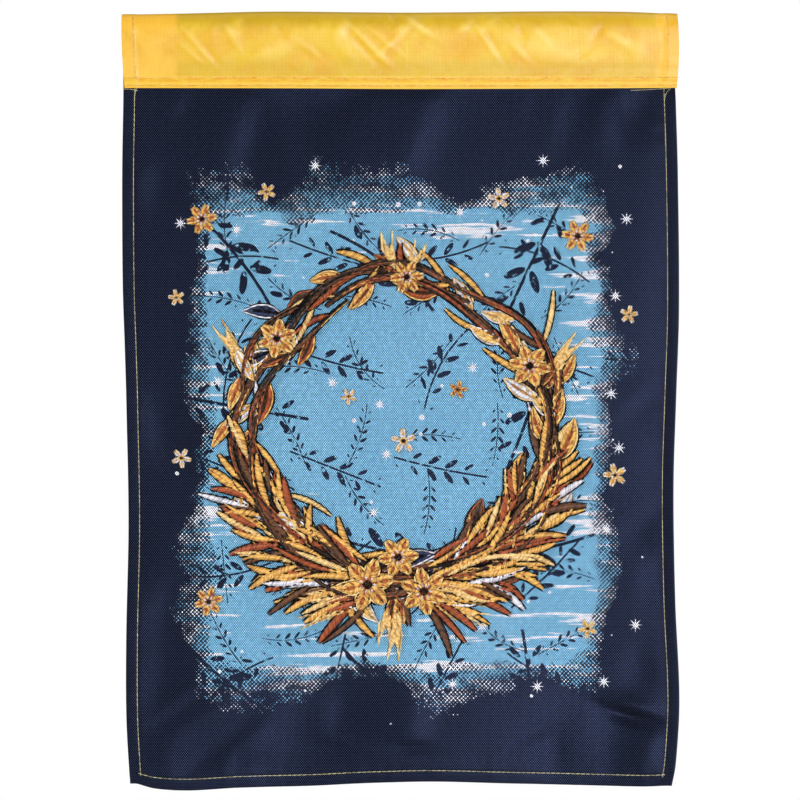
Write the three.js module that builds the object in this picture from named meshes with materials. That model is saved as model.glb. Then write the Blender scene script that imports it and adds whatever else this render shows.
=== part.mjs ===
// A garden flag as it hangs: a navy cloth panel with turned hems, sewn into the foot of
// a golden sleeve that is folded over along the top and left open at both ends for a rod.
// Millimetres, +Z up. X runs along the sleeve and the decorated front faces -Y.
// The origin is on the crest of the sleeve's fold, midway along it.

import * as THREE from "three";

// Driving dimensions
const FLAG_WIDTH = 326;
const FLAG_DROP = 457;
const SLEEVE_DROP = 45.6;
const SEAM_BAND = 7;
const PANEL_TUCK = 12.5;
const PANEL_CLOTH = 1.2;
const HEM_WIDTH = 8;
const HEM_BEND = 0.7;
const PANEL_HEM_CLOTH = 0.7;
const SLEEVE_CLOTH = 1;
const SLEEVE_HEM_CLOTH = 0.5;
const SEWN_GAP = 0.3;

// How finely the two sheets are divided
const PANEL_COLUMNS = 32;
const PANEL_ROWS = 42;
const SLEEVE_COLUMNS = 40;

const HALF_WIDTH = FLAG_WIDTH / 2;
const SEAM_TOP = SLEEVE_DROP - SEAM_BAND;

// How far each side of the panel stands inside the nominal width, by height
const LEFT_SIDE = [
  { z: -33, inset: 0.7 },
  { z: -46, inset: 0.9 },
  { z: -95, inset: 0.2 },
  { z: -160, inset: 0.5 },
  { z: -200, inset: 1.8 },
  { z: -235, inset: 2.8 },
  { z: -300, inset: 3.9 },
  { z: -370, inset: 2.6 },
  { z: -415, inset: 2.8 },
  { z: -455, inset: 5 },
];
const RIGHT_SIDE = [
  { z: -33, inset: 1.8 },
  { z: -46, inset: 1.7 },
  { z: -95, inset: 0.3 },
  { z: -175, inset: -0.4 },
  { z: -225, inset: 1.2 },
  { z: -280, inset: 2.8 },
  { z: -345, inset: 1.8 },
  { z: -403, inset: -0.6 },
  { z: -440, inset: 1.4 },
  { z: -455, inset: 4 },
];

// How far the bottom hem stands above the nominal drop, from left to right
const BOTTOM_EDGE = [
  { x: -159, lift: 4.2 },
  { x: -148, lift: 1.3 },
  { x: -128, lift: 0.2 },
  { x: -100, lift: 1.6 },
  { x: -55, lift: 2.6 },
  { x: -20, lift: 4.4 },
  { x: 20, lift: 5.4 },
  { x: 65, lift: 4.2 },
  { x: 110, lift: 3 },
  { x: 145, lift: 2.4 },
  { x: 160, lift: 3 },
];

// The sleeve's crest and foot, from left to right
const SLEEVE_CREST = [
  { x: -163, rise: -1.2 },
  { x: -125, rise: -0.5 },
  { x: -75, rise: 0.6 },
  { x: -25, rise: 0.2 },
  { x: 0, rise: 0 },
  { x: 35, rise: 0.2 },
  { x: 80, rise: 0.7 },
  { x: 130, rise: 0.5 },
  { x: 163, rise: -0.8 },
];
const SLEEVE_FOOT = [
  { x: -163, lift: 0.4 },
  { x: -60, lift: 0.2 },
  { x: 0, lift: -0.2 },
  { x: 80, lift: 0 },
  { x: 163, lift: 0.5 },
];
const SLEEVE_ENDS = [
  { drop: 0, left: 0, right: 0.6 },
  { drop: 20, left: 0.2, right: -0.3 },
  { drop: 33, left: 0.7, right: -0.1 },
  { drop: 45.6, left: 1.6, right: 0.9 },
];

// Half of the space inside the sleeve, by depth below its crest. A rod runs in the
// rounded top, and from LOOSE_DROP the two layers close on the panel at the seam band.
const LOOSE_DROP = 28;
const SLEEVE_SECTION = [
  { drop: 0, space: 0 },
  { drop: 0.5, space: 2.2 },
  { drop: 2, space: 3.9 },
  { drop: 4.5, space: 5 },
  { drop: 9, space: 5.4 },
  { drop: 15, space: 4.9 },
  { drop: 22, space: 3.8 },
  { drop: 29, space: 2.4 },
  { drop: 34.5, space: 1.3 },
  { drop: 38, space: 0.9 },
];

// Soft ridges and troughs of the panel. Each runs through (x, z) at an angle from the
// X axis, and stands proud of the front by its rise, or behind it where that is negative.
const PANEL_FOLDS = [
  { x: -92, z: -72, angle: 60, long: 26, wide: 8, rise: 1.8 },
  { x: -64, z: -70, angle: 124, long: 24, wide: 8, rise: 1.1 },
  { x: 16, z: -72, angle: 72, long: 30, wide: 9, rise: 2.3 },
  { x: 77, z: -62, angle: 95, long: 18, wide: 7, rise: 1 },
  { x: 127, z: -66, angle: 97, long: 24, wide: 8, rise: 1.5 },
  { x: 148, z: -150, angle: 90, long: 75, wide: 10, rise: 1.8 },
  { x: -146, z: -232, angle: 128, long: 28, wide: 8, rise: 1.2 },
  { x: -145, z: -312, angle: 62, long: 26, wide: 9, rise: 1.5 },
  { x: 137, z: -233, angle: 28, long: 24, wide: 8, rise: 1.9 },
  { x: 136, z: -301, angle: 30, long: 24, wide: 8, rise: 1.9 },
  { x: 138, z: -378, angle: 82, long: 26, wide: 11, rise: 2.4 },
  { x: 136, z: -411, angle: -13, long: 26, wide: 7, rise: -3 },
  { x: 86, z: -421, angle: 31, long: 38, wide: 9, rise: 2.4 },
  { x: 97, z: -441, angle: 28, long: 20, wide: 9, rise: -1.8 },
  { x: -122, z: -426, angle: 41, long: 40, wide: 8, rise: 2.6 },
  { x: -104, z: -428, angle: 41, long: 36, wide: 7, rise: -1.7 },
  { x: -85, z: -425, angle: 40, long: 40, wide: 10, rise: 2.6 },
  { x: -37, z: -416, angle: 66, long: 24, wide: 10, rise: 1.4 },
  { x: 7, z: -430, angle: 2, long: 36, wide: 9, rise: -1.9 },
  { x: -127, z: -391, angle: -12, long: 18, wide: 8, rise: -1.6 },
  { x: -60, z: -215, angle: 74, long: 170, wide: 48, rise: 2.6 },
  { x: 62, z: -270, angle: 102, long: 160, wide: 44, rise: -2.4 },
  { x: 118, z: -180, angle: 84, long: 120, wide: 34, rise: 1.6 },
];

// Waves of the free bottom edge, which die out up the cloth
const EDGE_WAVES = [
  { x: -122, wide: 34, sway: -4.5 },
  { x: -60, wide: 36, sway: 3.6 },
  { x: 8, wide: 42, sway: -2.8 },
  { x: 82, wide: 34, sway: 4.2 },
  { x: 140, wide: 26, sway: -3.8 },
];
const WAVE_REACH = 95;
const RELIEF_STARTS = 14;

// Creases of the sleeve's front, in the same terms, measured down from the crest
const SLEEVE_FOLDS = [
  { x: -118, z: -22, angle: -48, long: 24, wide: 5, rise: 0.9 },
  { x: -60, z: -28, angle: 20, long: 20, wide: 6, rise: -0.8 },
  { x: -14, z: -22, angle: -50, long: 24, wide: 5, rise: 1 },
  { x: 22, z: -24, angle: 75, long: 14, wide: 8, rise: -0.9 },
  { x: 48, z: -19, angle: -62, long: 20, wide: 5, rise: 1 },
  { x: 92, z: -24, angle: -30, long: 18, wide: 8, rise: 0.8 },
  { x: 128, z: -16, angle: 58, long: 14, wide: 6, rise: -0.7 },
];

// Value of one column of a table at a place between its rows, on a smooth curve.
function between(rows, place, column, at) {
  const rising = rows[rows.length - 1][place] > rows[0][place];
  const sorted = rising ? rows : [...rows].reverse();
  const last = sorted.length - 1;
  if (at <= sorted[0][place]) return sorted[0][column];
  if (at >= sorted[last][place]) return sorted[last][column];
  const k = sorted.findIndex((row) => row[place] > at) - 1;
  const slope = (i) => {
    const a = sorted[Math.max(i - 1, 0)];
    const b = sorted[Math.min(i + 1, last)];
    return (b[column] - a[column]) / (b[place] - a[place]);
  };
  const step = sorted[k + 1][place] - sorted[k][place];
  const t = (at - sorted[k][place]) / step;
  const start = sorted[k][column] * (1 + 2 * t) + slope(k) * step * t;
  const end = sorted[k + 1][column] * (3 - 2 * t) - slope(k + 1) * step * (1 - t);
  return start * (1 - t) ** 2 + end * t ** 2;
}

// Sum of soft ridges at a point. Each fades out across its width and along its length.
function foldRise(folds, x, z) {
  let sum = 0;
  for (const fold of folds) {
    const turn = THREE.MathUtils.degToRad(fold.angle);
    const along = (x - fold.x) * Math.cos(turn) + (z - fold.z) * Math.sin(turn);
    const across = (z - fold.z) * Math.cos(turn) - (x - fold.x) * Math.sin(turn);
    const reach = (along / fold.long) ** 2 + (across / fold.wide) ** 2;
    sum += fold.rise * Math.exp(-reach);
  }
  return sum;
}

// Distance of the panel's middle behind the hanging plane.
function panelDepth(x, z) {
  const fromSeam = THREE.MathUtils.smoothstep(-z, SLEEVE_DROP, SLEEVE_DROP + RELIEF_STARTS);
  const toBottom = Math.exp(-(((FLAG_DROP + z) / WAVE_REACH) ** 2));
  const sway = EDGE_WAVES.reduce(
    (sum, wave) => sum + wave.sway * Math.exp(-(((x - wave.x) / wave.wide) ** 2)),
    0,
  );
  return fromSeam * (toBottom * sway - foldRise(PANEL_FOLDS, x, z));
}

// Closed solid between two skins of a sheet, each a grid of points [row][column].
function thickSheet(front, back) {
  const rows = front.length;
  const columns = front[0].length;
  const points = [...front, ...back].flat();
  const at = (skin, i, j) => (skin * rows + i) * columns + j;
  const index = [];
  const quad = (a, b, c, d) => index.push(a, b, c, a, c, d);
  for (let i = 0; i < rows - 1; i++) {
    for (let j = 0; j < columns - 1; j++) {
      quad(at(0, i, j), at(0, i + 1, j), at(0, i + 1, j + 1), at(0, i, j + 1));
      quad(at(1, i, j), at(1, i, j + 1), at(1, i + 1, j + 1), at(1, i + 1, j));
    }
  }
  for (let i = 0; i < rows - 1; i++) {
    const end = columns - 1;
    quad(at(0, i, 0), at(1, i, 0), at(1, i + 1, 0), at(0, i + 1, 0));
    quad(at(0, i, end), at(0, i + 1, end), at(1, i + 1, end), at(1, i, end));
  }
  for (let j = 0; j < columns - 1; j++) {
    const end = rows - 1;
    quad(at(0, 0, j), at(0, 0, j + 1), at(1, 0, j + 1), at(1, 0, j));
    quad(at(0, end, j), at(1, end, j), at(1, end, j + 1), at(0, end, j + 1));
  }
  const geometry = new THREE.BufferGeometry().setFromPoints(points);
  geometry.setIndex(index);
  geometry.computeVertexNormals();
  return geometry;
}

// Lines across a sheet as shares from 0 to 1, each saying if it lies on turned cloth. Where
// there is a hem, a pair of lines close together makes its step.
function sheetLines(count, length, hems) {
  const hemShare = HEM_WIDTH / length;
  const bendShare = HEM_BEND / length;
  const starts = hems.start ? [0, hemShare - bendShare] : [];
  const ends = hems.end ? [1 - hemShare + bendShare, 1] : [];
  const from = hems.start ? hemShare : 0;
  const to = hems.end ? 1 - hemShare : 1;
  const plain = Array.from({ length: count + 1 }, (_, k) => THREE.MathUtils.lerp(from, to, k / count));
  return [
    ...starts.map((share) => ({ share, turned: true })),
    ...plain.map((share) => ({ share, turned: false })),
    ...ends.map((share) => ({ share, turned: true })),
  ];
}

// The navy panel. Its hems are turned to the back, so it is thicker there along three sides.
function makePanel() {
  const across = sheetLines(PANEL_COLUMNS, FLAG_WIDTH, { start: true, end: true });
  const down = sheetLines(PANEL_ROWS, FLAG_DROP - SLEEVE_DROP + PANEL_TUCK, { end: true });
  const top = -(SLEEVE_DROP - PANEL_TUCK);
  const front = [];
  const back = [];
  down.forEach((row, i) => {
    front.push([]);
    back.push([]);
    for (const column of across) {
      const guess = THREE.MathUtils.lerp(-HALF_WIDTH, HALF_WIDTH, column.share);
      const bottom = -FLAG_DROP + between(BOTTOM_EDGE, "x", "lift", guess);
      const z = THREE.MathUtils.lerp(top, bottom, row.share);
      const left = -HALF_WIDTH + between(LEFT_SIDE, "z", "inset", z);
      const right = HALF_WIDTH - between(RIGHT_SIDE, "z", "inset", z);
      const x = THREE.MathUtils.lerp(left, right, column.share);
      const y = panelDepth(x, z);
      const belowSleeve = THREE.MathUtils.smoothstep(-z, SLEEVE_DROP, SLEEVE_DROP + HEM_WIDTH);
      const hem = row.turned || column.turned ? PANEL_HEM_CLOTH * belowSleeve : 0;
      front[i].push(new THREE.Vector3(x, y - PANEL_CLOTH / 2, z));
      back[i].push(new THREE.Vector3(x, y + PANEL_CLOTH / 2 + hem, z));
    }
  });
  return thickSheet(front, back);
}

// The sleeve's half section from its foot up to the crest, as rows of depth and space.
function sleeveHalfSection() {
  const sewn = PANEL_CLOTH / 2 + SEWN_GAP;
  const seam = [SLEEVE_DROP, SLEEVE_DROP - SEAM_BAND / 2, SEAM_TOP];
  const closed = seam.map((drop) => ({ drop, space: sewn }));
  return [...closed, ...[...SLEEVE_SECTION].reverse()];
}

// The golden sleeve, one strip folded over at the crest, with its ends turned in.
function makeSleeve() {
  const half = sleeveHalfSection();
  const section = [
    ...half.map((row) => ({ ...row, side: -1 })),
    ...half.slice(0, -1).reverse().map((row) => ({ ...row, side: 1 })),
  ];
  const outer = section.map(() => []);
  const inner = section.map(() => []);
  for (const column of sheetLines(SLEEVE_COLUMNS, FLAG_WIDTH, { start: true, end: true })) {
    const guess = THREE.MathUtils.lerp(-HALF_WIDTH, HALF_WIDTH, column.share);
    const crest = between(SLEEVE_CREST, "x", "rise", guess) - SLEEVE_CLOTH;
    const foot = -SLEEVE_DROP + between(SLEEVE_FOOT, "x", "lift", guess);
    const loose = (drop) => 1 - THREE.MathUtils.smoothstep(drop, LOOSE_DROP, SEAM_TOP);
    const line = section.map(({ drop, space, side }) => {
      const z = THREE.MathUtils.mapLinear(drop, 0, SLEEVE_DROP, crest, foot);
      const crease = side < 0 ? foldRise(SLEEVE_FOLDS, guess, z) * loose(drop) : 0;
      const left = -HALF_WIDTH + between(SLEEVE_ENDS, "drop", "left", drop);
      const right = HALF_WIDTH - between(SLEEVE_ENDS, "drop", "right", drop);
      const x = THREE.MathUtils.lerp(left, right, column.share);
      return new THREE.Vector3(x, side * space - crease, z);
    });
    line.forEach((point, i) => {
      const before = line[Math.max(i - 1, 0)];
      const after = line[Math.min(i + 1, line.length - 1)];
      const outward = new THREE.Vector3(0, before.z - after.z, after.y - before.y).normalize();
      const hem = column.turned ? SLEEVE_HEM_CLOTH * loose(section[i].drop) : 0;
      inner[i].push(point.clone().addScaledVector(outward, -hem));
      outer[i].push(point.clone().addScaledVector(outward, SLEEVE_CLOTH));
    });
  }
  return thickSheet(inner, outer);
}

// Materials
const navyCloth = new THREE.MeshStandardMaterial({ color: 0x1d2440, roughness: 0.75, metalness: 0 });
const goldCloth = new THREE.MeshStandardMaterial({ color: 0xf2c44c, roughness: 0.5, metalness: 0 });

// Assembly
const flag = new THREE.Group();

const panel = new THREE.Mesh(makePanel(), navyCloth);
panel.name = "panel";
flag.add(panel);

const sleeve = new THREE.Mesh(makeSleeve(), goldCloth);
sleeve.name = "sleeve";
flag.add(sleeve);

export default flag;
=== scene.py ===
# A garden flag as it hangs. A navy canvas panel is printed and embroidered on its front, hemmed
# on three sides, and sewn into the foot of a golden sleeve that is open at both ends for a rod.
# The frame is in metres with +Z up, and the front faces -Y. Tables of shapes are in millimetres.

import math
import random
from collections import namedtuple
from functools import partial

import bmesh
import bpy
import numpy as np
from bpy.props import FloatProperty, FloatVectorProperty, IntProperty, PointerProperty
from mathutils import Matrix, Vector


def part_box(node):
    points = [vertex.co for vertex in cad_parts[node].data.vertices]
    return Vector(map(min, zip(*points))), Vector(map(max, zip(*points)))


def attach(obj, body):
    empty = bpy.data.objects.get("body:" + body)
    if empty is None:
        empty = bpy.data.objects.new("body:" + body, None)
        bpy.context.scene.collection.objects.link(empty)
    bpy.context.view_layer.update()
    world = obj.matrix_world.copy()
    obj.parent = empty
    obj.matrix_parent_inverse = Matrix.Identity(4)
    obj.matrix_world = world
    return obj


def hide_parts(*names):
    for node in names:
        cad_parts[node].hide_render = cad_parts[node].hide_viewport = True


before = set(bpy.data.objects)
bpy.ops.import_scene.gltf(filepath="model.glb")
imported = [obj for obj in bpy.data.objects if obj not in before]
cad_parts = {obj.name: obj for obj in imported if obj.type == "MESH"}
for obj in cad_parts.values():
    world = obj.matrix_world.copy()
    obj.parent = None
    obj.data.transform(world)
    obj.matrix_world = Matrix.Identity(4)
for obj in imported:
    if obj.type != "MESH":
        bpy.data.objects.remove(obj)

bl_info = {
    "name": "Garden Flag",
    "version": (1, 0, 0),
    "blender": (4, 5, 0),
    "location": "3D View > Sidebar > Garden Flag",
    "description": "Makes the cloth, print, embroidery and sewing of a garden flag",
    "category": "Object",
}

MM = 0.001
BODY = "root"
FRONT = (0.0, -1.0, 0.0)
BACK = (0.0, 1.0, 0.0)

# Driving dimensions of the two sheets, in millimetres
FLAG_WIDTH = 326
HALF_WIDTH = FLAG_WIDTH / 2
FLAG_DROP = 457
SLEEVE_DROP = 45.6
SEAM_TOP = SLEEVE_DROP - 7
PANEL_TOP = -33.1
PANEL_LENGTH = FLAG_DROP + PANEL_TOP
PANEL_CLOTH = 1.2
PANEL_HEM_CLOTH = 0.7
HEM_WIDTH = 8
HEM_BEND = 0.7
RIGHT_HEM_LEAN = 0.2
FOOT_HEM_LEAN = 0.14
SLEEVE_CLOTH = 1
SEWN_GAP = 0.3
SLEEVE_ROUND = 9
LOOSE_DROP = 28
HEM_STITCH_INSET = 6.7
UPPER_ROW = SEAM_TOP + 0.6
FOOT_ROW = SLEEVE_DROP - 1.9
END_ROW = 6.6
STITCH_COVER = 0.9

# How far sewing thread draws the cloth up into ripples and dents it, and how far they reach
HEM_RIPPLE = 0.22
LOOSE_RIPPLE = 0.32
SEAM_RIPPLE = 0.26
SEAM_SWELL = 0.24
RIPPLE_REACH = 7
HEM_GROOVE = 0.18
ROW_DENT = 0.3
END_DENT = 0.16
DENT_REACH = 0.8
EDGE_ROUNDING = 0.45
TURNED_END = 0.22

# Shapes of the embroidery, and the work on it: guide lines for satin and for strands, sorted by
# thread, and the dice. A leaf's last two values say how near its tip it is widest, and how pointed.
Twig = namedtuple("Twig", "start sweep radius wobble waves phase girth")
Bloom = namedtuple("Bloom", "x z radius turn")
Spray = namedtuple("Spray", "x z turn spread length count")
Swag = namedtuple("Swag", "radius start end count splay length")
Leaf = namedtuple("Leaf", "x z heading length half_width bow lift fullness point", defaults=(0.8, 0.8))
Needlework = namedtuple("Needlework", "satin strands dice")

# How far the panel's sides stand inside the nominal width, as rows of height and inset
LEFT_SIDE = (
    (-33, 0.7), (-46, 0.9), (-95, 0.2), (-160, 0.5), (-200, 1.8),
    (-235, 2.8), (-300, 3.9), (-370, 2.6), (-415, 2.8), (-455, 5),
)
RIGHT_SIDE = (
    (-33, 1.8), (-46, 1.7), (-95, 0.3), (-175, -0.4), (-225, 1.2),
    (-280, 2.8), (-345, 1.8), (-403, -0.6), (-440, 1.4), (-455, 4),
)

# How far the bottom hem stands above the nominal drop, as rows of place and lift
BOTTOM_EDGE = (
    (-159, 4.2), (-148, 1.3), (-128, 0.2), (-100, 1.6), (-55, 2.6), (-20, 4.4),
    (20, 5.4), (65, 4.2), (110, 3), (145, 2.4), (160, 3),
)

# The sleeve's crest and foot by place, its ends by depth, and half the space in it by depth
SLEEVE_CREST = (
    (-163, -1.2), (-125, -0.5), (-75, 0.6), (-25, 0.2), (0, 0),
    (35, 0.2), (80, 0.7), (130, 0.5), (163, -0.8),
)
SLEEVE_FOOT = ((-163, 0.4), (-60, 0.2), (0, -0.2), (80, 0), (163, 0.5))
SLEEVE_LEFT = ((0, 0), (20, 0.2), (33, 0.7), (45.6, 1.6))
SLEEVE_RIGHT = ((0, 0.6), (20, -0.3), (33, -0.1), (45.6, 0.9))
SLEEVE_SPACE = (
    (0, 0), (0.5, 2.2), (2, 3.9), (4.5, 5), (9, 5.4), (15, 4.9), (22, 3.8), (29, 2.4), (34.5, 1.3),
    (38, 0.9),
)

# Folds are rows of place x and z, angle in degrees, reach along and across, and rise. First the
# panel's ridges and troughs, of which the last two are creases near its foot.
PANEL_FOLDS = (
    (16, -72, 72, 30, 18, 0.7), (148, -150, 90, 75, 14, 0.8), (97, -441, 28, 20, 9, -1.4),
    (-104, -428, 41, 36, 7, -1), (-60, -215, 74, 170, 48, 2.6), (62, -270, 102, 160, 44, -2.4),
    (118, -180, 84, 120, 34, 1.6), (92, -437, 80, 9, 5, -1.1), (-32, -53, 0, 10, 7, -1.2),
    (138, -414, -18, 16, 4.5, -1.6), (6, -431, 2, 12, 1.6, -0.9),
)

# Soft slopes that catch the light from the right, or with a negative rise turn away from it. Each
# runs along its angle, and its left side stands nearer the viewer by the rise.
PANEL_SLOPES = (
    (-91, -72, 74, 27, 8, 3.2), (-63, -68, 116, 22, 8, 3.2), (17, -72, 74, 27, 7.5, 2.7),
    (75, -55, 88, 9, 4, 0.8), (95, -64, 82, 18, 5, 1.2), (128, -62, 92, 15, 5.5, 2.6),
    (146, -150, 88, 66, 10, 0.8), (-127, -53, 62, 10, 3, 1), (-33, -56, 80, 12, 8, -0.9),
    (112, -60, 84, 16, 5, -0.6), (148, -58, 90, 14, 6, -1.4), (-147, -102, 84, 13, 6, 1.8),
    (-147, -242, 104, 20, 7, 2.4), (-144, -350, 60, 22, 6, 1.4), (-148, -400, 84, 44, 8, 2.4),
    (-147, -308, 90, 14, 6, -0.9), (138, -230, 40, 14, 2.6, 1), (146, -266, 80, 20, 7, 0.5),
    (139, -297, 34, 14, 3.5, 1.2), (147, -309, 70, 10, 5, -1.1), (144, -332, 78, 16, 6, 1),
    (133, -385, 80, 16, 6, 1.2), (147, -388, 88, 14, 5, -0.9), (-130, -407, 33, 16, 2.4, 2),
    (-98, -410, 40, 20, 6, 2.2), (-127, -433, 52, 19, 9, 3.6), (-66, -416, 62, 27, 10, 4.2),
    (-82, -438, 50, 12, 6, 2.2), (-40, -411, 76, 14, 6, 2.2), (16, -411, 66, 17, 7, 2.8),
    (-97, -442, 70, 10, 4, 1.6), (62, -438, 56, 12, 2.4, 1.5), (82, -425, 30, 18, 2.6, 1.5),
    (86, -410, 35, 26, 8, 1.9), (116, -424, 84, 22, 9, 2.6), (136, -438, 80, 12, 7, -1.6),
    (151, -432, 74, 12, 4, 1.2), (135, -410.5, -18, 15, 2.3, 8), (8, -429, 2, 12, 1.7, 2.2),
    (-40, -429, -2, 9, 1.6, 1.6),
)

# Waves of the panel's foot: place, width and how far back they sway
EDGE_WAVES = ((-122, 34, -2.2), (-62, 36, 1.8), (28, 40, -1.8), (110, 32, 1.6), (150, 20, -1.2))
WAVE_REACH = 95
SLOPE_REACH = 3.5
RELIEF_STARTS = 5

# Creases of the sleeve's front: long ridges that run down from the crest, then short ones
SLEEVE_FOLDS = (
    (-116, -23, -50, 17, 1.8, 0.45), (-120, -27, -40, 12, 1.7, 0.3),
    (-112, -25, -50, 14, 1.9, -0.35), (-73, -23, 22, 18, 6, 0.4), (-17, -21, -46, 19, 1.8, 0.5),
    (-20, -23.5, -46, 16, 1.8, -0.4), (-32, -22, -72, 13, 4.5, 0.35), (-10, -17, -40, 14, 1.6, 0.3),
    (50, -17, -58, 13, 1.7, 0.42), (54, -19, -58, 11, 1.8, -0.35), (90, -24, -14, 26, 7, 0.4),
    (28, -26, 20, 14, 6, -0.45), (-44, -29, -8, 16, 6, -0.4), (-96, -29, 30, 10, 5, -0.4),
)
FINE_SLEEVE_FOLDS = (
    (-6, -3.6, -52, 4, 1.1, 0.6), (-1, -4.4, -40, 4, 1.1, -0.5), (7, -6, -34, 5, 1.3, 0.5),
    (-92, -5, 40, 5, 1.4, 0.5), (-52, -5, -28, 6, 1.5, -0.5), (56, -5, 24, 6, 1.4, 0.5),
    (100, -6, -20, 7, 1.5, -0.5), (-6, -20, 42, 13, 1.6, 0.4), (-96, -20, -64, 11, 1.9, 0.28),
    (-52, -24, -40, 9, 1.8, 0.28), (70, -24, -48, 10, 1.9, 0.28), (108, -25, 30, 9, 1.6, -0.4),
    (-100, -11, -56, 6, 2.4, 0.4), (-108, -11, 62, 6, 2.4, 0.3), (-70, -11, -60, 6, 2, -0.4),
    (-34, -11, 60, 7, 2.6, 0.5), (12, -10, -36, 9, 2.6, 0.6), (2, -10, 24, 7, 2.4, 0.4),
    (38, -9, 42, 6, 2.3, 0.5), (71, -11, 100, 6, 2, -0.5), (82, -14, -50, 8, 2.6, 0.4),
    (116, -13, 56, 7, 2.4, -0.4), (128, -17, -30, 9, 3, 0.4), (140, -22, 80, 12, 5, 0.3),
    (-146, -18, 12, 10, 5, 0.4), (92, -35, 24, 6, 1.6, -0.5), (103, -36, 20, 5, 1.4, -0.5),
    (122, -35, 16, 7, 1.5, -0.5), (134, -36, 18, 6, 1.6, -0.5), (150, -35, 14, 6, 1.8, -0.6),
    (-106, -36, 18, 5, 1.5, 0.4), (40, -34, 12, 9, 1.8, 0.4),
)

# The wreath: its middle, the radius of its ring and the twigs that are wound round it
WREATH_MIDDLE = (-2, -246)
WREATH_RADIUS = 88
TWIGS = (
    Twig(-104, 222, -3, 5, 2.5, 0.2, 3.1),
    Twig(62, 236, 3, -5, 3, 1.2, 2.9),
    Twig(172, 232, -1, -6, 2, 2.1, 2.7),
    Twig(-28, 196, 7, 4, 3.5, 0.7, 2.1),
    Twig(112, 168, -8, 5, 2, 3.0, 2.0),
    Twig(-142, 176, 9, -4, 2.5, 1.6, 1.9),
)

# Blossoms on the wreath, in millimetres from its middle, and those strewn round it
WREATH_BLOOMS = (
    Bloom(-17, -90, 15, 12),
    Bloom(16, -94, 13.5, 40),
    Bloom(1, -74, 11.5, 66),
    Bloom(-70, 54, 11, 20),
    Bloom(78, 38, 12, 50),
    Bloom(6, 90, 9.5, 5),
)
STREWN_BLOOMS = (
    Bloom(-116, -122, 8.5, 10),
    Bloom(-78, -106, 5, 44),
    Bloom(-131, -168, 4.5, 30),
    Bloom(58, -110, 6, 25),
    Bloom(104, -132, 9, 52),
    Bloom(134, -178, 5, 8),
    Bloom(-128, -262, 5.5, 60),
    Bloom(126, -272, 6.5, 33),
    Bloom(-112, -346, 8, 15),
    Bloom(110, -362, 5.5, 48),
    Bloom(2, -252, 7, 22),
    Bloom(-30, -226, 4.5, 50),
    Bloom(34, -222, 5, 5),
)

# Tufts at the wreath's foot and sides, from its middle: which way each points and how it spreads
SPRAYS = (
    Spray(-6, -90, 196, 66, 50, 9),
    Spray(6, -92, -16, 66, 50, 9),
    Spray(0, -94, 270, 76, 30, 6),
    Spray(-84, 30, 118, 60, 34, 5),
    Spray(82, 24, 52, 60, 34, 5),
    Spray(2, 88, 90, 120, 22, 5),
)

# Rows of straw laid along the foot of the ring, up either side: radius from the ring's, angles
# from its lowest point, count, how far the straws turn outward from the ring, and their length
SWAGS = (
    Swag(9, 6, 74, 28, 34, 34),
    Swag(-8, 12, 66, 20, -24, 28),
    Swag(1, 4, 84, 28, 4, 34),
    Swag(15, 8, 48, 16, 48, 30),
)
STRAW_THREADS = (
    "marigold", "rust", "marigold", "straw", "rust", "marigold", "marigold", "chestnut",
    "marigold", "rust", "straw", "marigold", "linen", "rust", "marigold", "chestnut",
)

# Embroidery threads: the dark and light side of each colour, how rough it is, and its gloss
THREADS = {
    "chestnut": ("#2A150D", "#774A2A", 0.42, 0.4),
    "umber": ("#100A08", "#3F2A1B", 0.5, 0.2),
    "rust": ("#5E200C", "#BE5E2E", 0.4, 0.4),
    "marigold": ("#98581A", "#FFCA68", 0.36, 0.5),
    "straw": ("#B47E30", "#FFE09C", 0.36, 0.5),
    "linen": ("#8F8B9C", "#FAF8FF", 0.38, 0.5),
    "midnight": ("#0C1024", "#303A60", 0.4, 0.3),
    "black": ("#040304", "#140F0E", 0.6, 0.08),
}
LEAF_TRIMS = {
    "marigold": ("rust", "straw"),
    "straw": ("marigold", "linen"),
    "linen": ("marigold", "straw"),
    "rust": ("umber", "marigold"),
    "chestnut": ("umber", "rust"),
    "midnight": ("black", "linen"),
}
LEAF_THREADS = ("marigold", "marigold", "straw", "linen", "rust", "chestnut", "midnight")
BLADE_THREADS = ("marigold", "marigold", "straw", "rust", "linen", "chestnut", "marigold")
TWIG_THREADS_LIT = ("chestnut", "rust", "chestnut", "rust", "chestnut", "umber", "marigold")
TWIG_THREADS_DIM = ("umber", "chestnut", "black", "umber", "chestnut", "rust")
SATIN_SLANT = 0.95
STRAW_POINT = 0.36
BIG_BLOOM = 7.5
STRAND_SPACING = 0.9
LONG_REACH = 2.7
LEAF_SPACING = 13

# Soft lamps: name, place, size across and power in watts
LIGHTS = (
    ("key_lamp", (-2.4, -1.1, 1.1), 0.7, 62),
    ("gloss_lamp", (1.0, -2.38, -0.54), 0.45, 54),
    ("top_lamp", (0.3, -0.4, 1.9), 1.2, 8),
    ("back_lamp", (0.9, 2.2, 0.5), 0.9, 46),
)

# Places of the cloth's closest grid lines, counted in from a hemmed edge
EDGE_LINES = (0, 0.2, 0.5, 1, 2.2, 3.8, 5.2, 5.8, 6.3, 6.7, 7.1, 7.6, 8.2, 9.4)
END_LINES = (0, 0.3, 0.8, 2, 4, 5.6, 6.4, 7.2, 8, 8.6, 10)
PANEL_STEP = 2.2
SLEEVE_STEP = 1.6
WAVE_TEXTURE_PERIOD = math.pi / 10

# What the crowns of the navy yarns add to any colour on the canvas, in linear light
YARN_CROWN_LIGHT = (0.055, 0.066, 0.122)
YARN_GLOSS_TINT = (0.36, 0.46, 1.0)

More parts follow.
